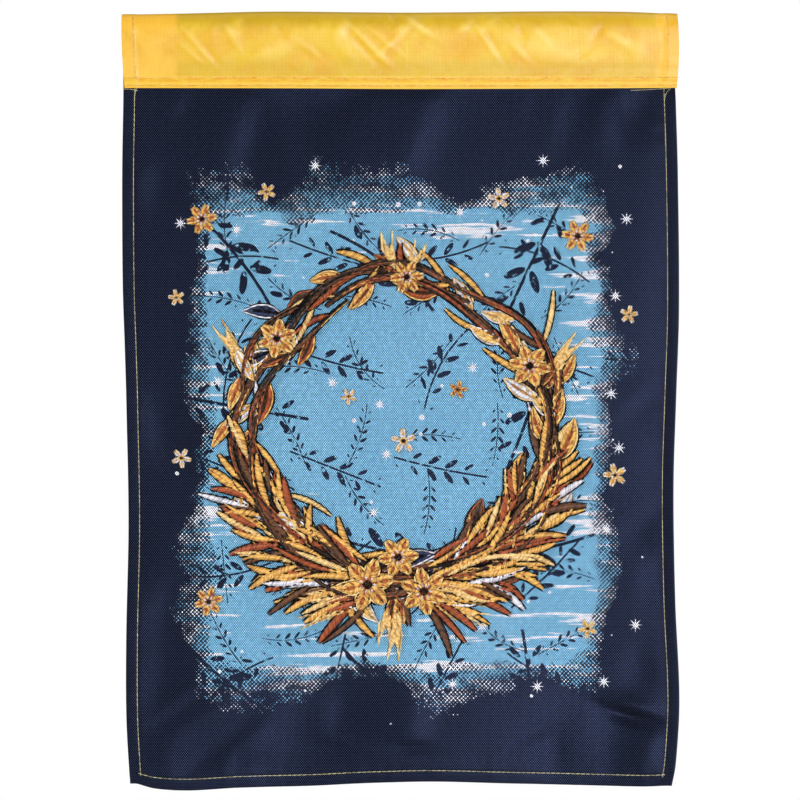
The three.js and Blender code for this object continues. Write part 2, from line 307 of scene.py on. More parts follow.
# Tones of the seam from its top to its foot: a painted highlight where the cloth swells, and painted
# amber shade along the stitches
SEAM_BANDS = (
    (0.04, "pale"), (0.1, "seam_amber_and_shade"), (0.38, "seam_amber_and_shade"), (0.5, "gold"), (0.58, "gold"),
    (0.64, "pale"), (0.72, "seam_amber_and_shade"), (0.82, "seam_amber_and_shade"), (0.88, "gold"),
)

# Navy sprigs of the print: size of a cell, spacing of the leaves, share of cells in use, and seed
SPRIGS = ((62, 10.5, 0.95, 3), (40, 5.6, 1, 11), (84, 17, 0.85, 7))
SOLID_GROUND = 1.12

# Where the sleeve's cloth is doubled, at both ends and its seam: where that starts, and where it
# is in full, in metres
DOUBLED_LEFT = (-0.1295, -0.132)
DOUBLED_RIGHT = (0.1485, 0.1505)
DOUBLED_SEAM = (-0.0378, -0.0388)

# Kinds of node that are used often
MATH = "ShaderNodeMath"
VECTOR = "ShaderNodeVectorMath"
RANGE = "ShaderNodeMapRange"
MIX = "ShaderNodeMix"
NOISE = "ShaderNodeTexNoise"
ROTATE = "ShaderNodeVectorRotate"
SEPARATE = "ShaderNodeSeparateXYZ"
COMBINE = "ShaderNodeCombineXYZ"
BUMP = "ShaderNodeBump"
SET_POSITION = "GeometryNodeSetPosition"


def colour(text):
    """Turns an sRGB hex colour such as #1A2138 to linear red, green and blue."""
    channels = [int(text[i:i + 2], 16) / 255 for i in (1, 3, 5)]
    return tuple(c / 12.92 if c <= 0.04045 else ((c + 0.055) / 1.055) ** 2.4 for c in channels)


def smoothstep(value, start, end):
    share = np.clip((value - start) / (end - start), 0, 1)
    return share * share * (3 - 2 * share)


def curve_through(rows, at):
    """Values at the places in an array, on a smooth curve through a table of (place, value) rows."""
    place, value = np.array(sorted(rows), float).T
    last = len(place) - 1
    before = np.maximum(np.arange(last + 1) - 1, 0)
    after = np.minimum(np.arange(last + 1) + 1, last)
    slope = (value[after] - value[before]) / (place[after] - place[before])
    k = np.clip(np.searchsorted(place, at, side="right") - 1, 0, last - 1)
    step = place[k + 1] - place[k]
    t = np.clip((at - place[k]) / step, 0, 1)
    start = value[k] * (1 + 2 * t) + slope[k] * step * t
    end = value[k + 1] * (3 - 2 * t) - slope[k + 1] * step * (1 - t)
    return start * (1 - t) ** 2 + end * t ** 2


def bell(offset, width):
    """A smooth bump that is 1 in its middle and has all but gone at twice its width."""
    return np.exp(-((offset / width) ** 2))


def fold_frame(x, z, angle):
    """Distances along and to the right of a line at an angle, from offsets to its middle."""
    turn = math.radians(angle)
    return x * math.cos(turn) + z * math.sin(turn), x * math.sin(turn) - z * math.cos(turn)


def fold_rise(folds, x, z):
    """Sum of soft ridges at points, each fading out across its width and along its length."""
    total = np.zeros_like(x, dtype=float)
    for fold_x, fold_z, angle, long, wide, rise in folds:
        along, right = fold_frame(x - fold_x, z - fold_z, angle)
        total += rise * bell(along, long) * bell(right, wide)
    return total


def slope_rise(slopes, x, z):
    """Sum of soft steps at points. Each falls to its right, most steeply along its middle line."""
    total = np.zeros_like(x, dtype=float)
    for slope_x, slope_z, angle, long, wide, rise in slopes:
        along, right = fold_frame(x - slope_x, z - slope_z, angle)
        reach = bell(along, long) * bell(right, wide * SLOPE_REACH)
        total -= rise / 2 * np.tanh(right / wide) * reach
    return total


def pucker(along, period, phase):
    """An uneven ripple from -1 to 1, as sewing thread draws cloth up."""
    drift = 1.7 * np.sin(2 * np.pi * along / (period * 4.3) + phase)
    return np.sin(2 * np.pi * along / period + drift) * (0.7 + 0.3 * np.sin(along / period + 2 * phase))


def panel_depth(x, z):
    """Distance of the panel's middle behind the hanging plane."""
    from_seam = smoothstep(-z, SLEEVE_DROP, SLEEVE_DROP + RELIEF_STARTS)
    sway = sum(depth * bell(x - place, wide) for place, wide, depth in EDGE_WAVES)
    relief = fold_rise(PANEL_FOLDS, x, z) + slope_rise(PANEL_SLOPES, x, z)
    return from_seam * (bell(FLAG_DROP + z, WAVE_REACH) * sway - relief)


def grid_lines(length, near_start, near_end, pitch):
    """Places of a sheet's grid lines along a length, with closer ones near its hemmed ends."""
    first = near_start[-1]
    last = length - near_end[-1]
    middle = np.linspace(first, last, round((last - first) / pitch) + 1)
    close = [length - line for line in near_end[:-1]]
    return np.concatenate([near_start[:-1], middle, close[::-1]])


def add_object(name, data):
    """A new object in the scene for a mesh, lamp or camera."""
    made = bpy.data.objects.new(name, data)
    bpy.context.collection.objects.link(made)
    return made


def quads(*corners):
    return np.stack([corner.ravel() for corner in corners], axis=1)


def closed_sheet(name, skins, materials):
    """A closed mesh between two skins, each an array of points by row and column in millimetres.
    The first skin takes the first material, and all else takes the last."""
    rows, columns = skins[0].shape[:2]
    near, far = np.arange(2 * rows * columns).reshape(2, rows, columns)
    faces = [
        quads(near[:-1, :-1], near[1:, :-1], near[1:, 1:], near[:-1, 1:]),
        quads(far[:-1, :-1], far[:-1, 1:], far[1:, 1:], far[1:, :-1]),
        quads(near[:-1, 0], far[:-1, 0], far[1:, 0], near[1:, 0]),
        quads(near[:-1, -1], near[1:, -1], far[1:, -1], far[:-1, -1]),
        quads(near[0, :-1], near[0, 1:], far[0, 1:], far[0, :-1]),
        quads(near[-1, :-1], far[-1, :-1], far[-1, 1:], near[-1, 1:]),
    ]
    mesh = bpy.data.meshes.new(name)
    points = np.concatenate([skin.reshape(-1, 3) for skin in skins]) * MM
    mesh.from_pydata(points.tolist(), [], np.concatenate(faces).tolist())
    for material in materials:
        mesh.materials.append(material)
    slots = np.full(len(mesh.polygons), len(materials) - 1, dtype=np.int32)
    slots[:len(faces[0])] = 0
    mesh.polygons.foreach_set("material_index", slots)
    mesh.shade_smooth()
    mesh.set_sharp_from_angle(angle=math.radians(60))
    mesh.update()
    return add_object(name, mesh)


def fill_inputs(tree, node, inputs):
    """Fills a node's inputs with values or links. They are given in order, as a tuple or a single
    one, or by name or number. A node given as a value stands for its first output in use."""
    if not isinstance(inputs, dict):
        inputs = dict(enumerate(inputs if isinstance(inputs, tuple) else (inputs,)))
    for key, value in inputs.items():
        if isinstance(key, str):
            target = next(s for s in node.inputs if s.enabled and s.name == key)
        else:
            target = node.inputs[key]
        if isinstance(value, bpy.types.Node):
            value = next(s for s in value.outputs if s.enabled)
        if isinstance(value, bpy.types.NodeSocket):
            tree.links.new(value, target)
        else:
            opaque = target.type == "RGBA" and len(value) == 3
            target.default_value = (*value, 1) if opaque else value


def add_node(tree, kind, inputs=(), operation=None, **settings):
    """Adds a node with its settings, and fills its inputs. A RANGE node takes a value, the start
    and end that it comes from, and the start and end that it goes to."""
    node = tree.nodes.new(kind)
    if operation:
        node.operation = operation
    for name, value in settings.items():
        setattr(node, name, value)
    fill_inputs(tree, node, inputs)
    return node


def new_material(name):
    """An empty material and its node tree, with a Principled shader at its output."""
    material = bpy.data.materials.new(name)
    material.use_nodes = True
    tree = material.node_tree
    tree.nodes.clear()
    shader = add_node(tree, "ShaderNodeBsdfPrincipled")
    add_node(tree, "ShaderNodeOutputMaterial", {"Surface": shader})
    return material, tree, shader


def lay_over(tree, base, *layers):
    """A colour over which others are laid in turn, each as far as its mask says."""
    for mask, tone in layers:
        inputs = {"Factor": mask, "A": base, "B": tone}
        base = add_node(tree, MIX, inputs, data_type="RGBA")
    return base


def flat_place(tree):
    """Object coordinates without depth, so that a pattern doesn't slide where the cloth folds."""
    place = add_node(tree, "ShaderNodeTexCoord").outputs["Object"]
    return add_node(tree, VECTOR, (place, (1, 0, 1)), "MULTIPLY")


def lattice(tree, place, period, turn, joined="MULTIPLY"):
    """Round bumps on a square lattice that is turned in the plane of the cloth. Multiplied bands
    give bumps from 0 to 1. Added bands, from 0 to 2, have hollows of the same shape as the bumps."""
    angle = math.radians(turn)
    turned = add_node(tree, ROTATE, {"Vector": place, "Angle": angle}, rotation_type="Y_AXIS")
    stripes = {"Vector": turned, "Scale": WAVE_TEXTURE_PERIOD / (period * MM), "Distortion": 0}
    bands = [add_node(tree, "ShaderNodeTexWave", stripes, bands_direction=axis) for axis in ("X", "Z")]
    return add_node(tree, MATH, tuple(band.outputs["Fac"] for band in bands), joined)


def canvas_weave(tree, place, spacing):
    """Round bumps for the crowns of the canvas yarns, in staggered rows that lie further apart
    down the cloth than across it."""
    drawn_up = add_node(tree, VECTOR, (place, (1, 1, 0.8)), "MULTIPLY")
    return lattice(tree, drawn_up, spacing, 45)


def canvas_finish(tree, shader, base, weave, place):
    """Gives a shader the grain, gloss and bump of coarse polyester canvas over a base colour. The
    crowns of the yarns are pale and glossy, and the pits between them are dark."""
    add = partial(add_node, tree)
    slub = add(NOISE, {"Vector": place, "Scale": 420, "Detail": 2})
    height = add(MATH, (slub, 0.45, weave), "MULTIPLY_ADD")
    shade = add(RANGE, (height, 0.25, 1.0, 0.2, 1.55))
    tinted = add(VECTOR, {0: base, "Scale": shade}, "SCALE")
    peaks = add(MATH, (weave, 3.0), "POWER")
    crowns = add(VECTOR, {0: YARN_CROWN_LIGHT, "Scale": peaks}, "SCALE")
    finish = {
        "Base Color": add(VECTOR, (tinted, crowns), "ADD"),
        "Normal": add(BUMP, {"Height": height, "Strength": 0.4, "Distance": 0.0001}),
        "Roughness": 0.44,
        "IOR": 1.5,
        "Specular IOR Level": add(RANGE, (height, 0.4, 1.2, 0.0, 1.22)),
        "Specular Tint": YARN_GLOSS_TINT,
    }
    fill_inputs(tree, shader, finish)


def woven_navy_canvas(settings):
    """Navy polyester canvas, 600-denier plain weave, piece-dyed. Its coarse yarns give a matt
    grain of staggered dots, drawn at about twice the real spacing, so that it shows."""
    material, tree, shader = new_material("navy_polyester_canvas_woven")
    place = flat_place(tree)
    canvas_finish(tree, shader, settings.navy, canvas_weave(tree, place, settings.weave), place)
    return material


def strewn_cells(tree, place, cell, seed, shift):
    """A square grid of cells with chances of their own. Returns the place in a cell, from 0 to 1
    each way, and the cell's three chances. The cell's size is in millimetres."""
    add = partial(add_node, tree)
    start = (seed * shift[0], 0, seed * shift[1])
    scaled = add(VECTOR, (place, (1 / (cell * MM),) * 3, start), "MULTIPLY_ADD")
    number = add(VECTOR, scaled, "FLOOR")
    chance = add("ShaderNodeTexWhiteNoise", {"Vector": number, "W": seed}, noise_dimensions="4D")
    dice = add("ShaderNodeSeparateColor", chance.outputs["Color"]).outputs
    return add(VECTOR, scaled, "FRACTION"), dice


def sprig_mask(tree, place, cell, pitch, share, seed):
    """Leafy sprigs strewn one to a cell of a square grid, each turned and shifted at random.
    Returns a node that is 1 on stems and leaves. Sizes are in millimetres."""
    add = partial(add_node, tree)
    inside, dice = strewn_cells(tree, place, cell, seed, (0.37, 0.61))
    centred = add(VECTOR, (inside, (0.5, 0, 0.5)), "SUBTRACT")
    angle = add(MATH, (dice["Red"], math.tau), "MULTIPLY")
    turned = add(ROTATE, {"Vector": centred, "Angle": angle}, rotation_type="Y_AXIS")
    axes = add(SEPARATE, add(VECTOR, {0: turned, "Scale": cell / pitch}, "SCALE")).outputs

    # A bowed stem, measured in leaf spacings
    bow = add(MATH, (axes["X"], axes["X"]), "MULTIPLY")
    bend = add(RANGE, (dice["Green"], 0, 1, -0.07, 0.07))
    aside = add(MATH, add(MATH, (bow, bend, axes["Z"]), "MULTIPLY_ADD"), "ABSOLUTE")
    along = add(RANGE, (add(MATH, axes["X"], "ABSOLUTE"), 0, 0.46 * cell / pitch, 1, 0))
    stem = add(MATH, (aside, 0.055), "LESS_THAN")
    stem_end = add(MATH, (along, 0.001), "GREATER_THAN")
    stem_part = add(MATH, (stem, stem_end), "MULTIPLY")

    # Pairs of slanting oval leaves, smaller towards the stem's ends
    leaf_place = add(COMBINE, {"X": add(MATH, axes["X"], "FRACT"), "Z": aside})
    leaf_middle = add(VECTOR, (leaf_place, (0.52, 0, 0.4)), "SUBTRACT")
    leaf_turn = add(ROTATE, {"Vector": leaf_middle, "Angle": math.radians(42)}, rotation_type="Y_AXIS")
    leaf_size = add(VECTOR, add(VECTOR, (leaf_turn, (0.46, 1, 0.17)), "DIVIDE"), "LENGTH")
    leaf = add(MATH, (leaf_size, add(MATH, (along, 0.6), "POWER")), "LESS_THAN")
    either = add(MATH, (leaf, stem_part), "MAXIMUM")
    present = add(MATH, (dice["Blue"], share), "LESS_THAN")
    return add(MATH, (either, present), "MULTIPLY")


def sparkle_mask(tree, place, cell, radius, share, seed):
    """Small sparkles of eight tapering rays, strewn one to a cell of a square grid. Returns a node
    that is 1 on the rays. Sizes are in millimetres."""
    add = partial(add_node, tree)
    inside, dice = strewn_cells(tree, place, cell, seed, (0.53, 0.29))
    spot_x = add(RANGE, (dice["Red"], 0, 1, 0.2, 0.8))
    spot_z = add(RANGE, (dice["Green"], 0, 1, 0.2, 0.8))
    spot = add(COMBINE, {"X": spot_x, "Z": spot_z})
    from_spot = add(VECTOR, (inside, spot), "SUBTRACT")
    local = add(VECTOR, {0: from_spot, "Scale": cell / radius}, "SCALE")
    axes = add(SEPARATE, local).outputs
    distance = add(VECTOR, local, "LENGTH")
    eightfold = add(MATH, (add(MATH, (axes["Z"], axes["X"]), "ARCTAN2"), 4.0), "MULTIPLY")
    off_ray = add(MATH, add(MATH, eightfold, "SINE"), "ABSOLUTE")
    aside = add(MATH, (off_ray, distance), "MULTIPLY")
    ray = add(MATH, (aside, add(RANGE, (distance, 0, 1, 0.5, 0))), "LESS_THAN")
    present = add(MATH, (dice["Blue"], share), "LESS_THAN")
    return add(MATH, (ray, present), "MULTIPLY")


def printed_canvas(settings, printing):
    """The same navy canvas with a dye-sublimation print: a light blue ground laid on as if by a dry
    brush, which breaks up into halftone dots at its rim, with white strokes, sprigs and snow."""
    material, tree, shader = new_material("navy_polyester_canvas_dye_printed")
    add = partial(add_node, tree)
    place = flat_place(tree)
    weave = canvas_weave(tree, place, settings.weave)

    # Distance from the middle of the ground, 1 at its rim, made uneven by blots and brush marks
    from_middle = add(VECTOR, (place, (printing.middle_x, 0, printing.middle_z)), "SUBTRACT")
    shares = add(VECTOR, (from_middle, (printing.half_width, 1, printing.half_height)), "DIVIDE")
    axes = add(SEPARATE, add(VECTOR, shares, "ABSOLUTE")).outputs
    rim = add(MATH, (axes["X"], axes["Z"], 0.3), "SMOOTH_MAX")
    blots = add(NOISE, {"Vector": place, "Scale": 26, "Detail": 5, "Roughness": 0.6})
    brush_place = add(VECTOR, (place, (0.11, 1, 1.5)), "MULTIPLY")
    brush = add(NOISE, {"Vector": brush_place, "Scale": 110, "Detail": 4, "Roughness": 0.65})
    ragged = add(MATH, (blots, 0.3, rim), "MULTIPLY_ADD")
    brushed = add(MATH, (brush, 0.24, ragged), "MULTIPLY_ADD")
    streaked = add(MATH, (brush, 0.1, ragged), "MULTIPLY_ADD")

    # Halftone dots that shrink outwards, over a rim that is soft in some places and hard in others
    crumbs = add(NOISE, {"Vector": place, "Scale": 170, "Detail": 4, "Roughness": 0.72})
    even_dots = lattice(tree, place, printing.halftone, 45, "ADD")
    dots = add(MATH, (crumbs, 3.3, even_dots), "MULTIPLY_ADD")
    patches = add(NOISE, {"Vector": place, "Scale": 17, "Detail": 1})
    softness = add(RANGE, (patches, 0.4, 0.6, 1.19, 1.31))
    threshold = add(RANGE, (streaked, SOLID_GROUND, softness, 2.4, 3.75))
    dotted = add(MATH, (dots, threshold), "GREATER_THAN")
    solid = add(MATH, (streaked, SOLID_GROUND), "LESS_THAN")
    covered = add(MATH, (dotted, solid), "MAXIMUM")
    within = add(MATH, (streaked, softness), "LESS_THAN")
    ground = add(MATH, (covered, within), "MULTIPLY")

    # White strokes that gather towards the rim
    white_push = add(RANGE, (rim, 0.35, 1.15, -0.1, 0.14))
    white_level = add(MATH, (brush, white_push), "ADD")
    frost = add(RANGE, (patches, 0.42, 0.58, 0.13, 0.0))
    rim_white = add(RANGE, (brushed, 1.235, 1.25, 0, frost))
    strokes = add(RANGE, (add(MATH, (white_level, rim_white), "ADD"), 0.615, 0.63))
    painted = lay_over(tree, printing.deep_blue, (blots, printing.blue), (strokes, printing.white))

    # Navy sprigs, worn away in places
    sprigs = 0.0
    for cell, pitch, share, seed in SPRIGS:
        sprigs = add(MATH, (sprigs, sprig_mask(tree, place, cell, pitch, share, seed)), "MAXIMUM")
    wear = add(NOISE, {"Vector": place, "Scale": 300, "Detail": 3})
    inked = add(MATH, (sprigs, add(RANGE, (wear, 0.34, 0.42))), "MULTIPLY")

    # Snow: round spots of uneven size, one to a cell at most, and sparkles
    flakes = add("ShaderNodeTexVoronoi", {"Vector": place, "Scale": 1 / (printing.snow_spacing * MM)})
    flake_dice = add("ShaderNodeSeparateColor", flakes.outputs["Color"]).outputs
    flake_size = add(RANGE, (flake_dice["Red"], 0.35, 1, 0, 0.13))
    snow = add(MATH, (flakes.outputs["Distance"], flake_size), "LESS_THAN")
    white_spots = add(MATH, (snow, sparkle_mask(tree, place, 44, 4.2, 0.5, 5)), "MAXIMUM")
    snow_reach = add(MATH, (rim, 1.16), "LESS_THAN")
    snowing = add(MATH, (white_spots, snow_reach), "MULTIPLY")
    layers = (ground, painted), (inked, settings.navy), (snowing, printing.white)
    canvas_finish(tree, shader, lay_over(tree, settings.navy, *layers), weave, place)
    return material


def golden_taffeta(settings):
    """Thin golden polyester taffeta, filament-woven and calendered. Fine yarns give it a soft sheen.
    It is lemon where it is one layer, and gold at its doubled ends and seam. Painted shade turns the one
    layer olive at its crest and above its seam and more amber in its hollows, and painted highlight makes
    it paler on its ridges."""
    material, tree, shader = new_material("golden_polyester_taffeta_calendered")
    add = partial(add_node, tree)
    place = flat_place(tree)
    axes = add(SEPARATE, place).outputs
    clouds = add(NOISE, {"Vector": place, "Scale": 44, "Detail": 4, "Roughness": 0.55, "Distortion": 0.6})

    # Where the cloth is doubled: the turned ends, the wider one at the left, and the seam
    left_end = add(RANGE, (axes["X"], *DOUBLED_LEFT))
    right_end = add(RANGE, (axes["X"], *DOUBLED_RIGHT))
    ends = add(MATH, (left_end, right_end), "MAXIMUM")
    seam = add(RANGE, (axes["Z"], *DOUBLED_SEAM))

    # The single layer: lemon with amber patches and painted amber shade in its hollows, painted highlight
    # on its ridges, and painted olive shade at its crest and foot
    ridge = add("ShaderNodeAttribute", attribute_name="ridge").outputs["Fac"]
    # Amber patches at random, with painted amber shade added where the ridges are low
    tone_and_hollow_shade = add(MATH, (ridge, -0.16, clouds), "MULTIPLY_ADD")
    amber_patches_and_hollow_shade = add(RANGE, (tone_and_hollow_shade, 0.42, 0.66))
    # Painted highlight: pale gold on the ridges
    crown = add(RANGE, (ridge, 0.1, 0.7, 0, 0.8))
    # Painted olive shade along the crest, weaker towards the right end, and fainter in a band above the
    # seam, with wandering edges
    wandering = add(MATH, (tone_and_hollow_shade, 0.014, axes["Z"]), "MULTIPLY_ADD")
    crest_shade_strength = add(RANGE, (axes["X"], -0.06, 0.15, 0.93, 0.5))
    soft = {"interpolation_type": "SMOOTHSTEP"}
    high = add(RANGE, (wandering, -0.007, 0.004, 0, crest_shade_strength), **soft)
    painted_shade_above_seam = add(RANGE, (wandering, -0.0195, -0.0265, 0, 0.36), **soft)
    painted_olive_shade = add(MATH, (high, painted_shade_above_seam), "MAXIMUM")
    tones = (amber_patches_and_hollow_shade, settings.amber), (crown, settings.pale), (painted_olive_shade, settings.olive)
    single = lay_over(tree, settings.lemon, *tones)

    # The doubled ends are amber in patches, with painted amber shade in the hollows and along the crest,
    # and the seam has painted sheen streaks along it
    shaded = add(MATH, (amber_patches_and_hollow_shade, high), "MAXIMUM")
    doubled = add(MIX, {"Factor": shaded, "A": settings.gold, "B": settings.amber}, data_type="RGBA")
    drawn_out = add(VECTOR, (place, (0.22, 1, 1)), "MULTIPLY")
    sheen_streak_noise = add(NOISE, {"Vector": drawn_out, "Scale": 620, "Detail": 2, "Roughness": 0.6})
    # Bands across the seam: painted highlight where it swells, and painted shade along its rows of
    # stitches
    bands = add("ShaderNodeValToRGB", add(RANGE, (axes["Z"], -SEAM_TOP * MM, -SLEEVE_DROP * MM)))
    stops = bands.color_ramp.elements
    for share, tone in SEAM_BANDS:
        stops.new(share).color = (*getattr(settings, tone), 1)
    for end in (0, -1):
        stops[end].color = (*settings.gold, 1)
    # Painted sheen: lighter streaks along the seam
    painted_sheen_streaks = add(RANGE, (sheen_streak_noise, 0.36, 0.64))
    seam_cloth = add(MIX, {"Factor": painted_sheen_streaks, "A": bands, "B": settings.lemon}, data_type="RGBA")
    coloured = lay_over(tree, single, (ends, doubled), (seam, seam_cloth))

    # Fine yarns, drawn about four times as coarse as the real ones, over a crinkled surface
    weave = lattice(tree, place, settings.taffeta_weave, 0)
    slub_place = add(VECTOR, (place, (1, 1, 0.12)), "MULTIPLY")
    slubs = add(NOISE, {"Vector": slub_place, "Scale": 900, "Detail": 1})
    height = add(MATH, (slubs, 0.8, weave), "MULTIPLY_ADD")
    shade = add(RANGE, (height, 0.3, 1.2, 0.93, 1.06))
    crinkle = add(NOISE, {"Vector": place, "Scale": 70, "Detail": 3, "Roughness": 0.5, "Distortion": 0.6})
    crinkled = add(BUMP, {"Height": crinkle, "Strength": 0.4, "Distance": 0.0011})
    finish = {
        "Base Color": add(VECTOR, {0: coloured, "Scale": shade}, "SCALE"),
        "Normal": add(BUMP, {"Height": height, "Normal": crinkled, "Strength": 0.35, "Distance": 0.0001}),
        "Roughness": 0.4,
        "IOR": 1.5,
        "Sheen Weight": 0.04,
        "Sheen Roughness": 0.35,
    }
    fill_inputs(tree, shader, finish)
    return material


def spun_thread(name, dark, light, roughness, gloss=0.5):
    """Trilobal polyester thread, filament-spun and twisted. Each stitch catches the light in its
    own way, so its colour lies between a dark and a light one by the stitch's own shade."""
    material, tree, shader = new_material(name)
    chance = add_node(tree, "ShaderNodeAttribute", attribute_name="shade").outputs["Fac"]
    shade = add_node(tree, MATH, (chance, 0.6), "POWER")
    sides = {"Factor": shade, "A": colour(dark), "B": colour(light)}
    finish = {
        "Base Color": add_node(tree, MIX, sides, data_type="RGBA"),
        "Roughness": roughness,
        "IOR": 1.55,
        "Specular IOR Level": gloss,
        "Sheen Weight": 0.2 * gloss,
    }
    fill_inputs(tree, shader, finish)
    return material


def stitch_tree():
    """Geometry Nodes that lay stitches along guide lines and press them onto a cloth.
    Each guide point says how far a stitch reaches, how it is turned and how high it lies."""
    tree = bpy.data.node_groups.new("lay_stitches", "GeometryNodeTree")
    add = partial(add_node, tree)
    for kind, names in (
        ("Geometry", ("Guides",)),
        ("Object", ("Cloth",)),
        ("Vector", ("Facing",)),
        ("Float", ("Pitch", "Thread Width", "Thread Height", "Unevenness")),
        ("Int", ("Seed",)),
        ("Material", ("Material",)),
    ):
        for name in names:
            tree.interface.new_socket(name, in_out="INPUT", socket_type="NodeSocket" + kind)
    tree.interface.new_socket("Stitches", in_out="OUTPUT", socket_type="NodeSocketGeometry")
    given = add("NodeGroupInput").outputs
    facing = given["Facing"]

    # One stitch of unit size: a thin closed strand that rises from the cloth and dips back in
    unit = {"Vertices": 3, "Side Segments": 2, "Radius": 0.5, "Depth": 1.0}
    strand = add("GeometryNodeMeshCylinder", unit)
    lying = add("GeometryNodeTransform", {"Geometry": strand, "Rotation": (0, math.pi / 2, 0)})
    place = add("GeometryNodeInputPosition")
    along = add(SEPARATE, place).outputs
    squared = add(MATH, (along["X"], along["X"]), "MULTIPLY")
    arch = add(MATH, (squared, -4, 1), "MULTIPLY_ADD")
    broad = add(MATH, (along["Y"], add(RANGE, (arch, 0, 1, 0.62, 1))), "MULTIPLY")
    flatter = add(MATH, (along["Z"], 0.6, -0.25), "MULTIPLY_ADD")
    risen = add(MATH, (arch, 0.75, flatter), "MULTIPLY_ADD")
    shaped = add(COMBINE, (along["X"], broad, risen))
    stitch = add(SET_POSITION, {"Geometry": lying, "Position": shaped})

    # A point for each stitch, and the way it turns there
    lines = add("GeometryNodeMeshToCurve", {"Mesh": given["Guides"]})
    spots = add("GeometryNodeResampleCurve", {"Curve": lines, "Length": given["Pitch"]}, mode="LENGTH")
    reach, turn, lift = (
        add("GeometryNodeInputNamedAttribute", {"Name": name}, data_type="FLOAT")
        for name in ("reach", "turn", "lift")
    )
    chance = add("FunctionNodeRandomValue", {2: 0.0, 3: 1.0, "Seed": given["Seed"]}, data_type="FLOAT")
    least = add(MATH, (given["Unevenness"], -1.0), "MULTIPLY")
    wobble = add(RANGE, (chance, 0, 1, least, given["Unevenness"]))
    angle = add(MATH, (turn, wobble), "ADD")
    tangent = add("GeometryNodeInputTangent")
    heading = add(ROTATE, {"Vector": tangent, "Axis": facing, "Angle": angle}, rotation_type="AXIS_ANGLE")
    axes = {"Primary Axis": heading, "Secondary Axis": facing}
    rotation = add("FunctionNodeAxesToRotation", axes, primary_axis="X", secondary_axis="Z")
    length = add(MATH, (reach, add(MATH, (wobble, 0.35, 2.0), "MULTIPLY_ADD")), "MULTIPLY")
    size = add(COMBINE, (length, given["Thread Width"], given["Thread Height"]))
    raised = add(VECTOR, {0: facing, "Scale": lift}, "SCALE")
    lifted = add(SET_POSITION, {"Geometry": spots, "Offset": raised})
    copies = {"Points": lifted, "Instance": stitch, "Rotation": rotation, "Scale": size}
    laid = add("GeometryNodeInstanceOnPoints", copies)
    tone = {"Geometry": laid, "Name": "shade", "Value": chance}
    toned = add("GeometryNodeStoreNamedAttribute", tone, data_type="FLOAT", domain="INSTANCE")
    real = add("GeometryNodeRealizeInstances", {"Geometry": toned})

    # Every point is carried straight through to the cloth's face
    cloth = add("GeometryNodeObjectInfo", {"Object": given["Cloth"]}, transform_space="RELATIVE")
    height = add(VECTOR, (place, facing), "DOT_PRODUCT").outputs["Value"]
    in_plane = add(VECTOR, (place, (1, 0, 1)), "MULTIPLY")
    aim = {
        "Target Geometry": cloth.outputs["Geometry"],
        "Source Position": add(VECTOR, (facing, (0.05, 0.05, 0.05), in_plane), "MULTIPLY_ADD"),
        "Ray Direction": add(VECTOR, {0: facing, "Scale": -1.0}, "SCALE"),
        "Ray Length": 0.1,
    }
    ray = add("GeometryNodeRaycast", aim, data_type="FLOAT").outputs
    rise = add(VECTOR, {0: facing, "Scale": height}, "SCALE")
    on_cloth = add(VECTOR, (ray["Hit Position"], rise), "ADD")
    pressed = add(SET_POSITION, {"Geometry": real, "Selection": ray["Is Hit"], "Position": on_cloth})
    smooth = add("GeometryNodeSetShadeSmooth", {"Geometry": pressed})
    finished = add("GeometryNodeSetMaterial", {"Geometry": smooth, "Material": given["Material"]})
    add("NodeGroupOutput", {"Stitches": finished})
    return tree


def lay_stitches(name, guides, cloth, material, pitch, thread, facing=FRONT, unevenness=0.06, seed=1):
    """Stitches along guide lines as one plain mesh. A guide is an array with a row for each point:
    x, z, reach, turn and lift. Lengths are in millimetres, and thread is its width and height."""
    mesh = bpy.data.meshes.new(name)
    rows = np.concatenate(guides)
    points = np.stack([rows[:, 0] * MM, np.zeros(len(rows)), rows[:, 1] * MM], axis=1)
    starts = np.cumsum([0] + [len(line) for line in guides])
    edges = [(i, i + 1) for k in range(len(guides)) for i in range(starts[k], starts[k + 1] - 1)]
    mesh.from_pydata(points.tolist(), edges, [])
    for column, label, scale in ((2, "reach", MM), (3, "turn", 1), (4, "lift", MM)):
        attribute = mesh.attributes.new(label, "FLOAT", "POINT")
        attribute.data.foreach_set("value", (rows[:, column] * scale).astype(np.float32))
    piece = add_object(name, mesh)
    tree = bpy.data.node_groups.get("lay_stitches") or stitch_tree()
    modifier = piece.modifiers.new("stitches", "NODES")
    modifier.node_group = tree
    values = {
        "Cloth": cloth,
        "Facing": facing,
        "Pitch": pitch * MM,
        "Thread Width": thread[0] * MM,
        "Thread Height": thread[1] * MM,
        "Unevenness": unevenness,
        "Seed": seed,
        "Material": material,
    }
    for socket in tree.interface.items_tree:
        if socket.in_out == "INPUT" and socket.name in values:
            modifier[socket.identifier] = values[socket.name]
    sewn = piece.evaluated_get(bpy.context.evaluated_depsgraph_get())
    piece.data = bpy.data.meshes.new_from_object(sewn)
    piece.data.name = name
    piece.modifiers.clear()
    if not piece.data.polygons:
        raise RuntimeError(name + " has no stitches")
    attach(piece, BODY)
    return piece


def panel_place(across, down):
    """Where a point of the flat panel hangs: x and z from how far across and down it lies."""
    bottom = -FLAG_DROP + curve_through(BOTTOM_EDGE, across - HALF_WIDTH)
    z = PANEL_TOP + (bottom - PANEL_TOP) * down / PANEL_LENGTH
    left = -HALF_WIDTH + curve_through(LEFT_SIDE, z)
    right = HALF_WIDTH - curve_through(RIGHT_SIDE, z)
    return left + (right - left) * across / FLAG_WIDTH, z


